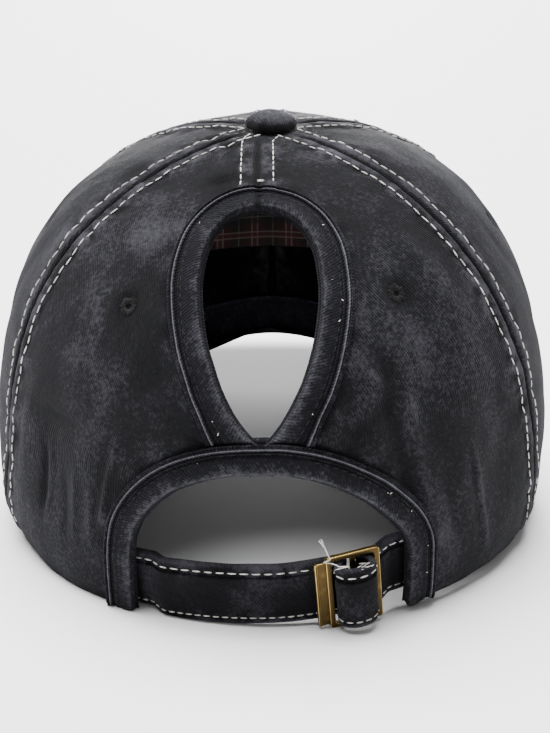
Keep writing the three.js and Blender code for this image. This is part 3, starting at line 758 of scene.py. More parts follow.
def back_panel(name, side):
    edge = back_edge(side)
    seam = seam_back_left if side < 0 else seam_back_right

    def where(u, v):
        inner, down = edge[round((1 - v) * back_rows)]
        down = min(down, drop)
        if side < 0:
            return panel_point(seam(down), inner, u, down)
        return panel_point(inner, seam(down), u, down)

    bm = shaped_grid(back_columns, back_rows, where)
    face_outwards(bm, inside)
    return finish_piece("cloth_" + name, bm, washed_twill, ["panel_" + name],
                        thickness=panel_thickness)


back_panel("back_left", -1)
back_panel("back_right", 1)

# %% [markdown]
# The section of a tape, the rounded edge of the strap and a loose thread are each told by a few
# points, with a smooth curve through them. Blender has curves of its own, but the pieces need the
# points themselves, evenly spaced, so the curve is worked out as a cubic that meets each of them.

# %% Curves through a few points
def curve_through(points, count):
    """Points spaced evenly along a smooth curve through a few given ones."""
    dense = []
    for i in range(len(points) - 1):
        before = points[max(0, i - 1)]
        a, b = points[i], points[i + 1]
        after = points[min(len(points) - 1, i + 2)]
        for t in shares(12)[:-1]:
            dense.append(((b * 3 - after - a * 3 + before) * t ** 3 * 0.5
                          - (b * -4 + after + a * 5 - before * 2) * t ** 2 * 0.5
                          + (b - before) * t * 0.5 + a))
    dense.append(points[-1])
    way = [0]
    for a, b in zip(dense, dense[1:]):
        way.append(way[-1] + (b - a).length)
    even = []
    for share in shares(count):
        target = share * way[-1]
        high = min(len(way) - 1, max(1, bisect.bisect_left(way, target)))
        t = (target - way[high - 1]) / max(1e-9, way[high] - way[high - 1])
        even.append(dense[high - 1].lerp(dense[high], t))
    return even


bend = curve_through([Vector((0, 0)), Vector((1, 1)), Vector((2, 0))], 4)
print("a bend through three points:", [[round(value, 2) for value in point] for point in bend])

# %% [markdown]
# Both openings are bound with folded tape. Its outer edge is a hard worn ridge, with a line of
# tone-on-tone stitches in the groove beside it. A bevelled curve could make a tape, but this one
# lies on a bent crown and puckers, so it is a grid whose width follows a section drawn across it:
# up over the ridge, down into the groove, round the edge and along the inside.

# %% The tapes round the openings
# Section of the tape: the way from the opening's edge, the height above the crown and the wear and
# painted shade; the dark values at the foot, in the groove and on the underside are painted shade
tape_section = [(7.4, 0.2, -0.9), (7.4, 1.2, -0.2), (7.2, 1.6, 0.7), (6.9, 1.72, 1.25), (6.55, 1.55, 0.4),
                (6.1, 1.15, -0.9), (5.4, 0.95, -0.7), (4.4, 1.1, -0.35), (3.2, 1.3, -0.1), (2.2, 1.42, 0.0),
                (1.1, 1.35, 0.15), (0.3, 1.0, 0.3), (-0.1, 0.2, 0.1), (-0.1, -1.4, -0.2), (0.3, -2.4, -0.3),
                (1.3, -2.75, -0.3), (3.5, -2.8, -0.3), (6.3, -2.75, -0.3)]
tape_columns = 56
tape_thickness = 0.85
section = curve_through([Vector(row) for row in tape_section], tape_columns)
crossing_middle = -5
crossing_reach = 17
arch_tree, _ = tree_of([[place(*spot) for spot in arch_run]])


def splay(v):
    """How near a foot of the tape is, from 0 along its length to 1 at both ends."""
    return smooth((abs(v - 0.5) - 0.4) / 0.1)


def tape(name, spots, stride, lift_of, replaced, foot_spread=0, joint_share=0):
    rows = len(spots[::stride]) - 1
    ways = [away(spots, i) for i in range(0, len(spots), stride)]
    bases = spots[::stride]
    length = sum((place(*b) - place(*a)).length for a, b in zip(bases, bases[1:]))

    def where(u, v):
        i = round(v * rows)
        across, height, worn = section[round(u * tape_columns)]
        way = v * length
        pull = ripple(way, across, 3.0, 12.5)
        slow = ripple(way, across * 0.5, 9.0, 15.5)
        on_top = smooth(height / 1.0)
        joint = bell((v - joint_share) * length, 0.7) if joint_share else 0
        widen = foot_spread * splay(v)
        plain = place(*walk(*bases[i], ways[i], across))
        widen *= smooth((arch_tree.find(plain)[2] - 2) / 4)
        angle, down = walk(*bases[i], ways[i], (across + 0.25 * slow) * (1 + widen))
        base = place(angle, min(down, drop + 2))
        lift = height + on_top * (0.08 * pull + 0.14 * slow - 0.5 * joint) + lift_of(base, height, v)
        # The tape is lighter where its ripples stand up, with painted shade where they sink and in the sunk
        # joint
        worn += on_top * (0.08 * pull + 0.22 * slow - 1.2 * joint)
        return base + slopes(angle, down)[2] * lift, (way, across), worn

    bm = shaped_grid(tape_columns, rows, where)
    face_outwards(bm, inside)
    return finish_piece(name, bm, twill_tape, [replaced], thickness=tape_thickness)


def hole_tape_lift(base, height, v):
    """The feet of the hole's tape are pressed flat under the arch's tape."""
    covered = 1 - smooth((arch_tree.find(base)[2] - binding_width) / 1.5)
    return covered * (-0.1 - height if height > 0 else -1.1)


def arch_tape_lift(base, height, v):
    """The arch's tape rides up over the feet of the hole's tape."""
    near_foot = smooth((crossing_reach - abs(base.x - crossing_middle)) / 6) * smooth((base.z - 30) / 8)
    return 0.55 * near_foot * smooth(height)


tape("tape_hole", hole_run, 1, hole_tape_lift, "hole_binding", foot_spread=0.3, joint_share=0.495)
tape("tape_arch", arch_run, 1, arch_tape_lift, "arch_binding")

# %% [markdown]
# Inside the rim runs the sweatband, a strip of dark twill turned over at its top edge. It is seen
# through the hole. A ring could be extruded downwards, but a grid over the inner side of the
# crown follows its waves, and the band steps down over the edge of the peak at the front.

# %% The sweatband
lining_gap = 0.6
lining_radius = 97
lining_thickness = 0.95
sweatband_start = 6
peak_thickness = 3
peak_half_angle = 62
peak_corner = 3
inner_lift = -panel_thickness - lining_gap


def behind_arch(side):
    return angle_at(side * (arch_half_width + binding_width + sweatband_start), drop)


def sweatband_point(u, v):
    down = mix(drop, drop - sweatband_height, v)
    angle = mix(behind_arch(1), 2 * math.pi + behind_arch(-1), u)
    front = abs(math.degrees(math.remainder(angle + math.pi, 2 * math.pi)))
    if v < 0.2:
        down += peak_thickness * smooth((peak_half_angle - front) / peak_corner) * (1 - v / 0.2)
    way = angle * lining_radius
    fold = 0.25 * bell(v - 0.93, 0.05) - 0.2 * bell(v - 0.8, 0.04)
    lift = inner_lift - fold - 0.12 * (1 + ripple(way, v * 12, 6, 3.3))
    worn = 0.8 * bell(v - 0.97, 0.04) + 0.4 * ripple(way, v * 10, 5, 6.1)
    return raised(angle, down, lift), (way, -down), worn


bm = shaped_grid(columns=420, rows=18, where=sweatband_point)
face_outwards(bm, inside)
finish_piece("cloth_sweatband", bm, band_twill, ["sweatband"],
             thickness=lining_thickness)

# %% [markdown]
# Plaid is a plain cotton woven from threads of several colours, so its bands cross and mix: dull
# maroon and green, and thin pairs of pale threads. A checker texture has only two colours. Here
# each stripe is a soft band that comes once in every sett, the width after which the pattern
# repeats, and because it is the same across and up, one table of stripes is drawn twice.

# %% Plaid cotton
# A small check has a sett of about 16 mm, and its plain weave a thread every 0.6 mm, drawn coarser
# than the real 0.3 mm so that it shows. The cotton is matt, which keeps it quiet behind the hole
plaid_sett = 16.0
plaid_thread = 0.6
plaid_relief = 0.2
# Stripes in each sett: middle as a share of the sett, half width in mm, strength and colour
plaid_stripes = [(0.0, 3.6, 0.6, "3C4340"), (0.5, 1.6, 0.5, "7A4A4C"), (0.42, 0.45, 0.6, "A79D98"),
                 (0.58, 0.45, 0.6, "A79D98"), (0.96, 0.36, 0.5, "9A9A90")]


def plaid_material():
    material, tree = new_material("plaid_cotton")
    cut = add(tree, "ShaderNodeUVMap", uv_map="cut")
    axes = add(tree, "ShaderNodeSeparateXYZ", {0: cut})

    def stripes(axis, middle, half):
        """Soft stripes across one axis, once in every sett; the 50 keeps the turns above zero."""
        turns = add(tree, "ShaderNodeMath",
                    {0: axes.outputs[axis], 1: 1 / (plaid_sett * millimetre), 2: 50.5 - middle},
                    operation="MULTIPLY_ADD")
        part = add(tree, "ShaderNodeMath", {0: turns}, operation="FRACT")
        off = add(tree, "ShaderNodeMath", {0: part, 1: 0.5}, operation="SUBTRACT")
        off = add(tree, "ShaderNodeMath", {0: off}, operation="ABSOLUTE")
        return add(tree, "ShaderNodeMapRange",
                   {"Value": off, "From Min": half / plaid_sett, "From Max": 0.5 * half / plaid_sett},
                   interpolation_type="SMOOTHSTEP")

    colour = linear("5C4244")
    for axis in (0, 1):
        for middle, half, strength, hex_colour in plaid_stripes:
            share = add(tree, "ShaderNodeMath", {0: stripes(axis, middle, half), 1: strength},
                        operation="MULTIPLY")
            colour = add(tree, "ShaderNodeMix", {0: share, 6: colour, 7: linear(hex_colour)},
                         data_type="RGBA").outputs[2]
    rib = add(tree, "ShaderNodeTexWave", {"Vector": cut, "Scale": wave_unit / (plaid_thread * millimetre)},
              bands_direction="DIAGONAL")
    bump = add(tree, "ShaderNodeBump",
               {"Strength": 0.4, "Distance": plaid_relief * millimetre, "Height": rib})
    surface = add(tree, "ShaderNodeBsdfPrincipled",
                  {"Base Color": colour, "Normal": bump, "Roughness": 0.9, "Specular IOR Level": 0.2})
    add(tree, "ShaderNodeOutputMaterial", {"Surface": surface})
    return material


plaid_cotton = plaid_material()
print("plaid sett:", plaid_sett, "mm, stripes:", len(plaid_stripes))

# %% [markdown]
# The lining is a piece of that plaid inside the front panels, seen through the hole. Solidify on
# the front panels could show it as their inner side, but lining is a cloth of its own: it is sewn
# only at its edges and hangs a little off the crown in slow waves, so it is one more grid.

# %% The plaid lining
plaid_low = 41.5
plaid_high = 109
plaid_half_angle = 46
plaid_gap = 0.85
plaid_foot, plaid_head = down_at(plaid_low), down_at(plaid_high)


def plaid_point(u, v):
    down = mix(plaid_foot, plaid_head, v)
    turn = mix(-1, 1, u) * math.radians(plaid_half_angle)
    across = turn * lining_radius
    hang = 0.15 * (1 + ripple(across, down, 14, 2.2))
    return raised(math.pi + turn, down, -panel_thickness - plaid_gap - hang), (across, down), 0


bm = shaped_grid(columns=120, rows=90, where=plaid_point)
face_outwards(bm, inside)
finish_piece("cloth_plaid", bm, plaid_cotton, ["plaid_lining"],
             thickness=lining_thickness)

# %% [markdown]
# The peak is a stiff board covered in the twill, with rows of stitches. A flat board could be bent
# with a modifier. It is ruled instead, with straight lines from the front rim to its outer edge,
# because its inner edge has to meet the waving rim. The grid wraps over its top, round its edge
# and back underneath, so the edge is rounded cloth.

# %% The peak
peak_length = 70
peak_power = 2.6
peak_dip = 12
peak_side_dip = 23
layer_gap = 0.3
peak_round = 0.14
peak_rows_of_stitches = 6
edge_fullness = 0.9


def peak_edges(share):
    angle = math.pi + share * math.radians(peak_half_angle)
    inner = raised(angle, drop, -panel_thickness)
    inner.z = place(angle, drop).z - layer_gap
    temple = math.radians(peak_half_angle)
    back = crown_half_length * math.cos(temple)
    half = crown_half_width * math.sin(temple) + peak_corner
    turn = share * math.pi / 2
    x = -math.copysign(half * abs(math.sin(turn)) ** (2 / peak_power), share)
    y = back + (crown_half_length + peak_length - back) * max(0, math.cos(turn)) ** (2 / peak_power)
    span = math.hypot(x - inner.x, y - inner.y)
    dip = math.radians(mix(peak_dip, peak_side_dip, share * share))
    return inner, Vector((x, y, inner.z - span * math.tan(dip)))


def peak_top(share, out):
    inner, outer = peak_edges(share)
    return inner.lerp(outer, out)


def peak_groove(out):
    """Stitch rows press grooves into the cloth of the peak."""
    rows = [(i + 1) / (peak_rows_of_stitches + 0.4) for i in range(peak_rows_of_stitches)]
    return min(abs(out - row) for row in rows)


def peak_point(u, v):
    share = mix(-1, 1, u)
    under = v < 0.5
    out = min(1, (v if under else 1 - v) * 2 / (1 - peak_round))
    edge = max(0, (1 - abs(v - 0.5) * 2) - (1 - peak_round)) / peak_round
    point = peak_top(share, out)
    turn = edge * math.pi / 2
    half = peak_thickness / 2
    inner, outer = peak_edges(share)
    outward = outer - inner
    outward.z = 0
    outward.normalize()
    swell = half * edge_fullness * (math.sin(turn) - 1)
    side = -1 if under else 1
    depth = half * math.cos(turn) if edge > 0 else half
    groove = bell(peak_groove(out) * peak_length, 0.9) if edge == 0 else 0
    # The rounded edge is rubbed lighter, and the grooves of the stitch rows are darkened with painted shade
    wear_and_shade = 0.4 * noise.noise(point / 14) + 1.0 * math.sin(turn) - 0.4 * groove
    lift = side * (depth - 0.22 * groove + 0.1 * noise.noise(point / 8)) - half
    return point + outward * swell + Vector((0, 0, lift)), (point.x, point.y), wear_and_shade


bm = shaped_grid(columns=240, rows=130, where=peak_point)
bmesh.ops.holes_fill(bm, edges=[edge for edge in bm.edges if edge.is_boundary], sides=0)
bmesh.ops.recalc_face_normals(bm, faces=bm.faces[:])
finish_piece("cloth_peak", bm, washed_twill, ["peak"])

# %% [markdown]
# The strap comes out from behind the tape, runs behind the buckle and bulges through it in a
# loop round the buckle's middle bar. An array of links along a curve would lose the loop's tight
# turns, so the way of the strap is a route of stops: flat stretches and three arcs that touch.

# %% The way of the strap
strap_width = 19.2
strap_thickness = 2.3
strap_height = 5.6
strap_slant = 2.5
strap_tuck = 8.5
strap_settle = 6
strap_clear = 3.2
loop_radius = 4.6
turn_radius = 1.8
loop_squash = 0.7
buckle_side = 22.7
buckle_gap = 0.6
middle_bar = 1.5
binding_thickness = 1
strap_middle = drop - strap_height - strap_width / 2
buckle_spot = (angle_at(buckle_side, strap_middle), strap_middle)
strap_sunk = -(layer_gap + buckle_gap + strap_thickness / 2)
strap_deep = inner_lift - binding_thickness - lining_gap - strap_thickness / 2
loop_foot = (middle_bar + strap_thickness) / 2 + layer_gap + turn_radius
loop_lean = math.acos(loop_foot / (loop_radius + turn_radius))
scale = spread(*buckle_spot)


def arc(side, rise, radius, start, end, count):
    turns = [mix(start, end, s) for s in shares(count)]
    return [(side + radius * math.cos(t), rise + radius * math.sin(t)) for t in turns]


def strap_out(angle):
    side = abs(math.sin(angle)) * crown_half_width
    return mix(strap_deep, strap_sunk, smooth((arch_half_width - strap_clear - side) / strap_settle))


def strap_down(angle):
    side = min(0, math.sin(angle)) * crown_half_width
    return strap_middle + strap_slant * (side / arch_half_width) ** 2


def strap_route():
    """Stops of the strap: the angle, the way out of the crown and the rise of the loop."""
    quarter = math.pi / 2
    rise = turn_radius + (loop_radius + turn_radius) * math.sin(loop_lean)
    loop = (arc(-loop_foot, turn_radius, turn_radius, -quarter, loop_lean, 10)
            + arc(0, rise, loop_radius, 2 * quarter + loop_lean, -loop_lean, 36)[1:]
            + arc(loop_foot, turn_radius, turn_radius, 2 * quarter - loop_lean, 3 * quarter, 10)[1:])
    start = angle_at(-arch_half_width - strap_tuck, strap_middle)
    end = angle_at(arch_half_width + strap_tuck, strap_middle)
    foot = loop_foot / scale
    left = [mix(start, buckle_spot[0] - foot, s) for s in shares(90)][:-1]
    right = [mix(buckle_spot[0] + foot, end, s) for s in shares(36)][1:]
    flat = [(angle, strap_out(angle), 0) for angle in left]
    bulge = [(buckle_spot[0] + side / scale, strap_sunk, up * loop_squash) for side, up in loop]
    return flat + bulge + [(angle, strap_out(angle), 0) for angle in right]


route = strap_route()
print("stops of the strap:", len(route))


def strap_spot(stop, across, deep):
    """A point of the strap: a stop, the way up across its width and the way out through it."""
    angle, out, rise = route[stop]
    before, after = route[max(0, stop - 1)], route[min(len(route) - 1, stop + 1)]
    along = Vector(((after[0] - before[0]) * scale, after[1] + after[2] - before[1] - before[2]))
    along.normalize()
    angle -= deep * along.y / scale
    down = strap_down(angle)
    right, _, normal = slopes(angle, down)
    up = normal.cross(right).normalized()
    angle, down = walk(angle, down, up, across)
    return place(angle, down) + slopes(angle, down)[2] * (out + deep * along.x) + normal * rise


# %% [markdown]
# The strap is a strip of twill folded over and sewn along both edges, which pinches it flat there
# and leaves its middle plump. Half of its section is drawn, mirrored and carried along the route.
# A curve with a bevel would do the same, but it can't pucker beside the stitches.

# %% The strap
strap_ways = [0]
for i in range(1, len(route)):
    strap_ways.append(strap_ways[-1] + (strap_spot(i, 0, 0) - strap_spot(i - 1, 0, 0)).length)

# Half of the strap's section, from its middle to its edge: the way across and the half thickness
strap_half = [(0, 1.05), (3, 1.06), (5.6, 1.02), (6.9, 0.8), (7.5, 0.78), (8.2, 1.0), (9.0, 0.95),
              (9.5, 0.6), (9.6, 0.0)]
strap_around = 72
quarter_section = [Vector((a, b, 0)) for a, b in strap_half]
front_half = [Vector((-p.x, p.y, 0)) for p in quarter_section[::-1]] + quarter_section[1:]
back_half = [Vector((p.x, -p.y, 0)) for p in front_half[::-1]]
ring = curve_through(front_half + back_half[1:], strap_around)


def strap_point(u, v):
    stop = round(v * (len(route) - 1))
    across, deep, _ = ring[round(u * strap_around)]
    way = strap_ways[stop]
    pull = ripple(way, across, 3.0, 21.5)
    slow = ripple(way, across * 0.6, 8.0, 24.5)
    at_stitch = bell(abs(across) - 7.4, 1.6)
    deep *= 1 + 0.12 * pull * at_stitch + 0.1 * slow
    edge = bell(abs(across) - 9.5, 0.7)
    # The folded edges are rubbed lighter; the puckers are lighter where they swell and painted shade where
    # they sink, and the pinched stitch line is darkened with painted shade
    worn = 0.75 * edge + 1.0 * pull * at_stitch + 0.7 * slow - 0.3 * bell(abs(across) - 7.3, 0.4)
    return strap_spot(stop, across + 0.2 * slow, deep), (way, across), worn


bm = shaped_grid(strap_around, len(route) - 1, strap_point, closed=True)
finish_piece("cloth_strap", bm, strap_twill, ["strap"])

# %% [markdown]
# The slide buckle is stamped brass with an antique finish: a dark brown lacquer that was rubbed
# off where hands touch it, so its edges shine. The bevelled edges carry more wear than the faces,
# and noise breaks up the border between dark and bright. The bevel node could find the edges too,
# but it works in one renderer only, and wear on the vertices works in all of them.

# %% Antique brass
# Stamped brass, lacquered brown and relieved by rubbing: bright warm edges on a dark dull face, and
# fine upright brush lines, which spread the highlights. Rubbed patches are about 4 mm across. The
# lines of the grit are 0.1 mm apart and are drawn coarser, at about 0.4 mm, so that they show
patches_per_metre = 260
lines_per_metre = 300
line_stretch = 9
brushed_relief = 0.1


def brass_material():
    material, tree = new_material("antique_brass")
    spot = add(tree, "ShaderNodeTexCoord").outputs["Object"]
    patches = add(tree, "ShaderNodeTexNoise", {"Vector": spot, "Scale": patches_per_metre, "Detail": 4})
    brushing = add(tree, "ShaderNodeMapping", {0: spot, "Scale": (line_stretch, line_stretch, 1)})
    lines = add(tree, "ShaderNodeTexNoise", {"Vector": brushing, "Scale": lines_per_metre, "Detail": 3})
    wear_and_shade = add(tree, "ShaderNodeAttribute", attribute_name="wear_and_shade").outputs["Fac"]
    rubbed = add(tree, "ShaderNodeMath", {0: patches, 1: 1.3, 2: wear_and_shade}, operation="MULTIPLY_ADD")
    share = add(tree, "ShaderNodeMapRange", {"Value": rubbed, "From Min": 0.5, "From Max": 1.7},
                interpolation_type="SMOOTHSTEP")
    colour = add(tree, "ShaderNodeMix", {0: share, 6: linear("4A3C22"), 7: linear("B89C62")},
                 data_type="RGBA").outputs[2]
    rough = add(tree, "ShaderNodeMapRange", {"Value": share, "To Min": 0.5, "To Max": 0.26})
    bump = add(tree, "ShaderNodeBump",
               {"Strength": 0.25, "Distance": brushed_relief * millimetre, "Height": lines})
    surface = add(tree, "ShaderNodeBsdfPrincipled",
                  {"Base Color": colour, "Roughness": rough, "Normal": bump, "Metallic": 1})
    add(tree, "ShaderNodeOutputMaterial", {"Surface": surface})
    return material


antique_brass = brass_material()
print("metal:", antique_brass.name)

# %% [markdown]
# The buckle is a flat frame with a window that the strap's loop comes through, and a middle bar
# behind the loop. Two boxes and a boolean could make it. Insetting one face and extruding it
# gives a cleaner mesh, and its sharp edges are then rounded, as tumbling rounds stamped brass. A
# plate with a raised lip holds the strap's fixed end on its left.

# %% The buckle
strap_clearance = 0.5
buckle_side_bar = 1.6
buckle_end_bar = 1.4
buckle_depth = 1.5
flange_width = 3.2
flange_drop = 1.4
flange_thickness = 0.7
flange_lip = 0.6
corner_rounding = 0.9
edge_rounding = 0.28
window_half = loop_radius + strap_thickness / 2 + layer_gap
window_height = strap_width + 2 * strap_clearance
frame_wide = 2 * (window_half + buckle_side_bar)
frame_tall = window_height + 2 * buckle_end_bar


def buckle_matrix():
    right, _, out = slopes(*buckle_spot)
    right = right.normalized()
    up = out.cross(right).normalized()
    turned = Matrix((right, -out, up)).transposed().to_4x4()
    return to_world @ Matrix.Translation(raised(*buckle_spot, -layer_gap)) @ turned


def thick_plate(bm, left, right, bottom, top, front, back):
    """A flat face between four sides, extruded into a plate; it gives back the new vertices."""
    square = bmesh.ops.create_grid(bm, x_segments=1, y_segments=1, size=0.5)["verts"]
    for vert in square:
        x, z = mix(left, right, vert.co.x + 0.5), mix(bottom, top, vert.co.y + 0.5)
        vert.co = Vector((x, front, z))
    faces = list({face for vert in square for face in vert.link_faces})
    made = bmesh.ops.extrude_face_region(bm, geom=faces)["geom"]
    lifted = [item for item in made if isinstance(item, bmesh.types.BMVert)]
    bmesh.ops.translate(bm, verts=lifted, vec=(0, back - front, 0))
    return square + lifted


def buckle_frame(bm):
    square = bmesh.ops.create_grid(bm, x_segments=1, y_segments=1, size=0.5)["verts"]
    for vert in square:
        vert.co = Vector((vert.co.x * frame_wide, -buckle_depth, vert.co.y * frame_tall))
    bm.normal_update()
    bmesh.ops.inset_individual(bm, faces=bm.faces[:], thickness=buckle_end_bar, use_even_offset=True)
    window = min(bm.faces, key=lambda face: face.calc_center_median().xz.length)
    for vert in window.verts:
        vert.co.x = math.copysign(window_half, vert.co.x)
    bmesh.ops.delete(bm, geom=[window], context="FACES_ONLY")
    made = bmesh.ops.extrude_face_region(bm, geom=bm.faces[:])["geom"]
    lifted = [item for item in made if isinstance(item, bmesh.types.BMVert)]
    bmesh.ops.translate(bm, verts=lifted, vec=(0, buckle_depth, 0))
    upright = [edge for edge in bm.edges if abs(edge.verts[0].co.y - edge.verts[1].co.y) > 1]
    bmesh.ops.bevel(bm, geom=upright, offset=corner_rounding, segments=4, profile=0.5,
                    material=-1, affect="EDGES")


bm = bmesh.new()
buckle_frame(bm)
flange_x = -frame_wide / 2 - flange_width + 0.3
tall = frame_tall / 2 - flange_drop
thick_plate(bm, left=flange_x, right=-frame_wide / 2 + 0.5, bottom=-tall, top=tall,
            front=-flange_thickness - 0.35, back=-0.1)
thick_plate(bm, left=flange_x - flange_lip / 2, right=flange_x + flange_lip, bottom=-tall, top=tall,
            front=-1.35, back=0.1)
bar_end = window_height / 2 + 0.6
thick_plate(bm, left=-middle_bar / 2, right=middle_bar / 2, bottom=-bar_end, top=bar_end,
            front=-1.2, back=-0.2)
bmesh.ops.recalc_face_normals(bm, faces=bm.faces[:])
sharp = [edge for edge in bm.edges if edge.calc_face_angle(0) > math.radians(40)]
bmesh.ops.bevel(bm, geom=sharp, offset=edge_rounding, segments=3, profile=0.5, material=-1,
                affect="EDGES")
bm.normal_update()
edge_wear = 1.1
face_wear = -0.2
wear_and_shade = bm.verts.layers.float.new("wear_and_shade")
for vert in bm.verts:
    vert[wear_and_shade] = edge_wear if max(abs(n) for n in vert.normal) < 0.97 else face_wear
bmesh.ops.transform(bm, matrix=buckle_matrix(), verts=bm.verts[:])
for vert in bm.verts:
    vert.co.z = max(vert.co.z, floor_clearance)
finish_piece("slide_buckle", bm, antique_brass, ["buckle"])

# %% [markdown]
# The button is a metal disc covered in the same twill. Its dome could be turned from a profile,
# but cloth that is pulled in below the edge gathers in shallow folds, so a sphere is flattened
# underneath, drawn up into a dome and rippled near its edge.

# %% The button
button_radius = 8
button_height = 4.5
gathers = 11
button_lift = 1.2
button_underside = 1.1

bm = bmesh.new()
bmesh.ops.create_uvsphere(bm, u_segments=96, v_segments=48, radius=1)
wear_and_shade = bm.verts.layers.float.new("wear_and_shade")
cut = bm.loops.layers.uv.new("cut")
top = place(0, 0)
for vert in bm.verts:
    turn = math.atan2(vert.co.y, vert.co.x)
    out = min(1, vert.co.xy.length)
    low = vert.co.z < 0
    gather = math.sin(gathers * turn + 3 * noise.noise(Vector((turn, 0, 4)))) * smooth((out - 0.75) / 0.25)
    lumps = noise.noise(Vector((vert.co.x * 2.4, vert.co.y * 2.4, 9)))
    reach = button_radius * out ** 0.92 * (1 + 0.012 * gather)
    height = (-button_underside if low else button_height) * abs(vert.co.z) ** (1.0 if low else 1.12)
    height += 0.16 * lumps * (1 - out)
    # Lighter towards the top of the dome, and darker towards its edge and underneath with painted shade
    # where it gathers in against the crown
    vert[wear_and_shade] = 0.75 * (1 - out ** 3) - 0.6 * smooth((out - 0.8) / 0.2) + 0.25 * lumps + 0.15 * gather
    vert.co = to_world @ Vector((reach * math.cos(turn), reach * math.sin(turn),
                                 top.z + button_lift + height))
for face in bm.faces:
    for loop in face.loops:
        loop[cut].uv = (loop.vert.co.x, loop.vert.co.y)
finish_piece("covered_button", bm, washed_twill, ["top_button"])

# %% [markdown]
# Sewing thread is cotton spun round a polyester core. It is matt and a little fuzzy, and the
# cream one was greyed by the dye in the wash. The twist of the plies is finer than a pixel, so
# it isn't modelled, and noise in the colour and in the bump gives the eye the same softness.

# %% Thread
# Spun thread without gloss, with hardly a highlight. The embroidery thread and the charcoal one
# have even less sheen, because they should sink into the dark cloth. The fluff of the plies is
# drawn at about 1.1 mm, coarser than their real twist of 0.5 mm, and the wash left a new shade
# about every 14 mm
fluff_per_metre = 900
dirt_per_metre = 70
thread_relief = 0.1


def thread_material(name, deep, bright, sheen=0.15):
    material, tree = new_material(name)
    spot = add(tree, "ShaderNodeTexCoord").outputs["Object"]
    fluff = add(tree, "ShaderNodeTexNoise", {"Vector": spot, "Scale": fluff_per_metre, "Detail": 2})
    dirt = add(tree, "ShaderNodeTexNoise", {"Vector": spot, "Scale": dirt_per_metre, "Detail": 2})
    tone = add(tree, "ShaderNodeMath", {0: fluff, 1: dirt}, operation="ADD")
    share = add(tree, "ShaderNodeMapRange", {"Value": tone, "From Min": 0.6, "From Max": 1.24})
    colour = add(tree, "ShaderNodeMix", {0: share, 6: linear(deep), 7: linear(bright)},
                 data_type="RGBA").outputs[2]
    bump = add(tree, "ShaderNodeBump",
               {"Strength": 0.5, "Distance": thread_relief * millimetre, "Height": fluff})
    surface = add(tree, "ShaderNodeBsdfPrincipled",
                  {"Base Color": colour, "Normal": bump, "Roughness": 0.75,
                   "Specular IOR Level": 0.15, "Sheen Weight": sheen})
    add(tree, "ShaderNodeOutputMaterial", {"Surface": surface})
    return material


cream_thread = thread_material("cream_thread", "83817D", "DEDBD6")
black_thread = thread_material("black_embroidery_thread", "020203", "0A0A0C", sheen=0.02)
tonal_thread = thread_material("charcoal_thread", "08080A", "19191D", sheen=0.04)
print("threads:", [thread.name for thread in (cream_thread, black_thread, tonal_thread)])

# %% [markdown]
# A stitch shows as a short grain that dives into the cloth at both ends, so it is a stretched
# sphere of a few dozen faces. A row could be an array along a curve, but then every stitch would
# be alike. Here a row lays one after another along a line over the cloth and draws the length and
# the slant of each. The rows follow every seam on both sides.

# %% Rows of stitches
thread_thickness = 0.44
stitch_pitch = 3.3
stitch_length = 2.7

bm = bmesh.new()
lying = Matrix.Rotation(math.pi / 2, 4, "X")
bmesh.ops.create_uvsphere(bm, u_segments=7, v_segments=6, radius=1, matrix=lying)
stitch_shape = bpy.data.meshes.new("stitch_shape")
bm.to_mesh(stitch_shape)
bm.free()


def add_stitch(bm, middle, along, out, length, thickness):
    """One stitch in the bmesh: the sphere, stretched, in millimetres with the rim level."""
    side = out.cross(along).normalized()
    turned = Matrix((side, along.normalized(), out)).transposed().to_4x4()
    size = Matrix.Diagonal((thickness / 2, length / 2, thickness / 2, 1))
    stitch = stitch_shape.copy()
    stitch.transform(to_world @ Matrix.Translation(middle) @ turned @ size)
    bm.from_mesh(stitch)
    bpy.data.meshes.remove(stitch)


def row_of_stitches(bm, points, outs, pitch=stitch_pitch, length=stitch_length,
                    thickness=thread_thickness, sink=0.02, seed=0):
    way = [0]
    for a, b in zip(points, points[1:]):
        way.append(way[-1] + (b - a).length)
    draw = random.Random(seed)
    for k in range(int(way[-1] / pitch)):
        middle = (k + 0.5) * pitch
        ends = []
        for target in (middle - length / 2, middle, middle + length / 2):
            high = min(len(way) - 1, max(1, bisect.bisect_left(way, target)))
            t = (target - way[high - 1]) / max(1e-6, way[high] - way[high - 1])
            ends.append((points[high - 1].lerp(points[high], t), outs[high]))
        (start, _), (at, out), (end, _) = ends
        along = (end - start).normalized()
        along += out.cross(along) * draw.uniform(-0.05, 0.05)
        height = thickness * 0.5 - sink
        add_stitch(bm, at + out * height, along, out, length * draw.uniform(0.92, 1.04), thickness)


def beside_seam(seam, side, start, end, offset=stitch_row):
    """Points beside a seam, drawn in where the panels narrow near the button."""
    points, outs = [], []
    count = int((end - start) / 1.1)
    for down in (mix(start, end, s) for s in shares(count)):
        angle = seam(down)
        here = place(angle, down)
        along = (place(seam(down + 0.5), down + 0.5) - here).normalized()
        across = along.cross(slopes(angle, down)[2]).normalized() * side
        point, out = cloth_spot(*walk(angle, down, across, offset))
        points.append(point)
        outs.append(out)
    return points, outs


bm = bmesh.new()
for number, seam in enumerate(seam_lines.values()):
    for side in (-1, 1):
        row_of_stitches(bm, *beside_seam(seam, side, 8.5, drop - 1), seed=number * 2 + side)
for side in (-1, 1):
    row_of_stitches(bm, *beside_seam(seam_centre, side, 9, hole_top - binding_width - 0.6), seed=side + 40)
# A short bar tack lies across the middle seam
tack_down = 40
tack_angle = seam_centre(tack_down)
for step in (-0.25, 0.25):
    tack, out = cloth_spot(tack_angle + 0.032, tack_down + step)
    add_stitch(bm, tack + out * 0.2, slopes(tack_angle, tack_down)[0], out, 2.2, 0.42)
finish_piece("seam_stitches", bm, cream_thread, [])

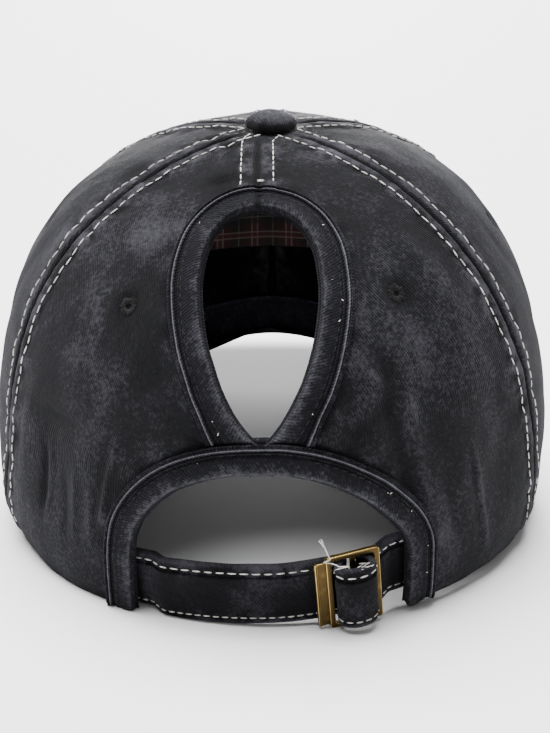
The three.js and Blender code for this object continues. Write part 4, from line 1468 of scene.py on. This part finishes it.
# %% [markdown]
# The strap is sewn along both edges and the peak in six curved rows. Painted dashes would be
# enough from far away, but up close the thread casts small shadows. A row needs only the points
# of its line and the way out of the cloth, so the same function sews both.

# %% Stitches of the strap and the peak
strap_stitch_across = 7.35
bm = bmesh.new()
for side, pitch, length in ((1, 3.3, 2.5), (-1, 2.6, 2.0)):
    points, outs = [], []
    for stop in range(6, len(route) - 4):
        surface = strap_spot(stop, side * strap_stitch_across, 0.8)
        points.append(surface)
        outs.append((surface - strap_spot(stop, side * strap_stitch_across, 0)).normalized())
    row_of_stitches(bm, points, outs, pitch, length, thickness=0.44, seed=60 + side)
finish_piece("strap_stitches", bm, cream_thread, [])

bm = bmesh.new()
for i in range(peak_rows_of_stitches):
    out = (i + 1) / (peak_rows_of_stitches + 0.4)
    points = [peak_top(mix(-0.965, 0.965, s), out * 0.98) for s in shares(150)]
    row_of_stitches(bm, points, [Vector((0, 0, 1))] * len(points), thickness=0.5, sink=0.25,
                    seed=80 + i)
finish_piece("peak_stitches", bm, cream_thread, [])

# %% [markdown]
# The tapes are sewn down with thread of their own colour that hardly shows. It could be left out.
# It is made because its small grains give the groove beside the ridge a soft beaded line.

# %% Tone-on-tone stitches in the grooves of the tapes
groove_across = 4.75
bm = bmesh.new()
for spots in (hole_run, arch_run):
    points, outs = [], []
    for i in range(4, len(spots) - 4, 2):
        angle, down = walk(*spots[i], away(spots, i), groove_across)
        if down < drop:
            out = slopes(angle, down)[2]
            points.append(place(angle, down) + out * 1.05)
            outs.append(out)
    row_of_stitches(bm, points, outs, pitch=2.6, length=1.9, thickness=0.4, sink=0.06, seed=len(points))
finish_piece("tape_stitches", bm, tonal_thread, [])

# %% [markdown]
# An eyelet is a small hole for air, bound with satin stitches that lie side by side like spokes.
# A ring with a bump on it could stand for it. Real spokes were chosen, because their uneven ends
# make the star that the eye knows. Two show in the photograph, and the other panels have theirs
# at about the same height.

# %% The eyelets
eyelet_radius = 3.9
eyelet_hole = 0.7
spokes = 26

for name, degrees, down in eyelet_rows:
    angle = math.radians(degrees)
    middle, out = cloth_spot(angle, down, 0.1)
    right = slopes(angle, down)[0].normalized()
    up = out.cross(right).normalized()
    draw = random.Random(name)
    bm = bmesh.new()
    for k in range(spokes):
        turn = 2 * math.pi * k / spokes
        spoke = right * math.cos(turn) + up * math.sin(turn)
        reach = eyelet_radius - 1.0 + draw.uniform(-0.35, 0.3)
        lean = out * draw.uniform(0.0, 0.15)
        add_stitch(bm, middle + spoke * (reach + eyelet_hole) / 2 + out * 0.1, spoke + lean,
                   out, reach - eyelet_hole, draw.uniform(0.7, 1.1))
    finish_piece("eyelet_stitches_" + name, bm, black_thread, ["eyelet_" + name])

# %% [markdown]
# Small things make cloth believable: specks of lint on the tape, and the loose end of the thread
# that sticks up from the strap's loop. Hair particles could make both, but there are so few that
# the lint is scattered short stitches and each thread a tube rolled along a curve.

# %% Lint and the loose thread
lint_draw = random.Random(11)
bm = bmesh.new()
lint_spots = [(hole_run, 17), (arch_run, 10)]
for spots, count in lint_spots:
    for _ in range(count):
        i = lint_draw.randrange(20, len(spots) - 20)
        angle, down = walk(*spots[i], away(spots, i), lint_draw.choice((4.7, 5.1, 8.0, 2.4)))
        out = slopes(angle, down)[2]
        along = Vector([lint_draw.uniform(-1, 1) for _ in range(3)]).cross(out)
        add_stitch(bm, place(angle, down) + out * 1.35, along, out, lint_draw.uniform(0.35, 0.8), 0.26)
finish_piece("lint", bm, cream_thread, [])


def thread_tube(name, points, thickness, material, seed):
    """A loose thread: a grid rolled into a tube along a smooth curve."""
    steps = 60
    path = curve_through(points, steps)
    ways = [(path[min(steps, i + 1)] - path[max(0, i - 1)]).normalized() for i in range(steps + 1)]

    def where(u, v):
        i = round(v * steps)
        side = ways[i].orthogonal().normalized()
        up = ways[i].cross(side)
        turn = 2 * math.pi * u
        radius = thickness / 2 * (1 + 0.2 * noise.noise(Vector((i / 4, seed, 0))))
        return path[i] + (side * math.cos(turn) + up * math.sin(turn)) * radius, (u, v), 0

    bm = shaped_grid(8, steps, where, closed=True)
    return finish_piece(name, bm, material, [])


loop_stop = next(i for i, stop in enumerate(route) if stop[2] > 4)
root = strap_spot(loop_stop + 2, 8.6, 1.0)
loop_out = slopes(*buckle_spot)[2]
loop_right = slopes(*buckle_spot)[0].normalized()
loop_up = loop_out.cross(loop_right)
tail = [root, root + loop_up * 2.0 + loop_out * 1.4 + loop_right * 0.6,
        root + loop_up * 4.6 + loop_out * 1.2 - loop_right * 1.2,
        root + loop_up * 8.2 - loop_right * 2.6, root + loop_up * 10.6 - loop_right * 3.6]
thread_tube("loose_thread", tail, 0.3, cream_thread, 3)
curl_middle = strap_spot(loop_stop + 16, 8.9, -1.0)
curl = [curl_middle + loop_right * a + loop_out * b + loop_up * c for a, b, c in
        ((-2.8, 0.2, -0.3), (-1.4, 0.9, 0.3), (0.2, 0.8, 0.9), (1.2, 0.1, 0.9), (0.4, -0.6, 0.6),
         (-0.6, 0.0, 0.5), (0.2, 1.0, 0.6), (1.8, 1.1, 0.4), (2.8, 0.6, -0.2))]
thread_tube("thread_curl", curl, 0.22, cream_thread, 7)

# %% [markdown]
# The photograph has a plain white ground. A curved studio sheet could give it, but a wide floor
# of matt white paper does too, because the world behind it is as white to the camera.

# %% The floor
# Matt white paper: no highlight, so only soft shadows show on it
floor_size = 80
bm = bmesh.new()
bmesh.ops.create_grid(bm, x_segments=1, y_segments=1, size=floor_size / 2)
floor_mesh = bpy.data.meshes.new("floor")
bm.to_mesh(floor_mesh)
bm.free()
paper, tree = new_material("white_paper")
surface = add(tree, "ShaderNodeBsdfPrincipled", {"Base Color": linear("F8F8F8"), "Roughness": 0.9})
add(tree, "ShaderNodeOutputMaterial", {"Surface": surface})
floor_mesh.materials.append(paper)
floor = bpy.data.objects.new("floor", floor_mesh)
bpy.context.collection.objects.link(floor)
print("floor:", floor_size, "m wide")

# %% [markdown]
# The light in the photograph is broad and soft. Lamps near the cap would leave a bright pool on
# the floor, so both softboxes are distant: a wide one overhead that brings out the creases, and a
# small low one in front of the cap that lights the floor under the peak and shines in under the
# front rim. The world only fills the shadows, and a light path lets the camera see it whiter than
# it shines.

# %% The world and the lights
sky_strength = 0.35
backdrop_strength = 3.0
world = bpy.data.worlds.new("studio")
world.use_nodes = True
sky = world.node_tree
sky.nodes.clear()
seen = add(sky, "ShaderNodeLightPath").outputs["Is Camera Ray"]
strength = add(sky, "ShaderNodeMath", {0: seen, 1: backdrop_strength - sky_strength, 2: sky_strength},
               operation="MULTIPLY_ADD")
light = add(sky, "ShaderNodeBackground", {"Color": (1, 1, 1, 1), "Strength": strength})
add(sky, "ShaderNodeOutputWorld", {"Surface": light})
bpy.context.scene.world = world

# Each distant softbox: the way to it, its width in degrees and its strength
softbox_rows = [("ceiling", (-0.2, 0.3, 1.45), 55, 12), ("front", (0.0, 1.9, 0.32), 14, 9)]
for name, way_to, width, power in softbox_rows:
    lamp = bpy.data.lights.new(name, "SUN")
    lamp.angle = math.radians(width)
    lamp.energy = power
    holder = bpy.data.objects.new(name, lamp)
    holder.matrix_world = Vector(way_to).to_track_quat("Z", "Y").to_matrix().to_4x4()
    bpy.context.collection.objects.link(holder)
    print("softbox", name, width, "degrees wide")

# %% [markdown]
# The camera stands behind the cap and looks a little down on it. Its place and its lens could be
# found by eye. They were worked out instead, by fitting the crown's outline to the photograph,
# so the place is given in the cap's own millimetres and is tipped back with the cap.

# %% The camera
camera_spot = Vector((1.30, -390.0, 225.1))
camera_dip = 25.94
focal_pixels = 1285
picture_height = 733
sensor_width = 36
camera_data = bpy.data.cameras.new("camera")
camera_data.sensor_width = sensor_width
camera_data.lens = sensor_width * focal_pixels / picture_height
camera_data.clip_start = 0.01
camera = bpy.data.objects.new("camera", camera_data)
camera.matrix_world = (Matrix.Translation(to_world @ camera_spot)
                       @ Matrix.Rotation(math.radians(90 - camera_dip + cap_tilt), 4, "X"))
bpy.context.collection.objects.link(camera)
bpy.context.scene.camera = camera
print("camera at", [round(value, 3) for value in camera.matrix_world.translation])
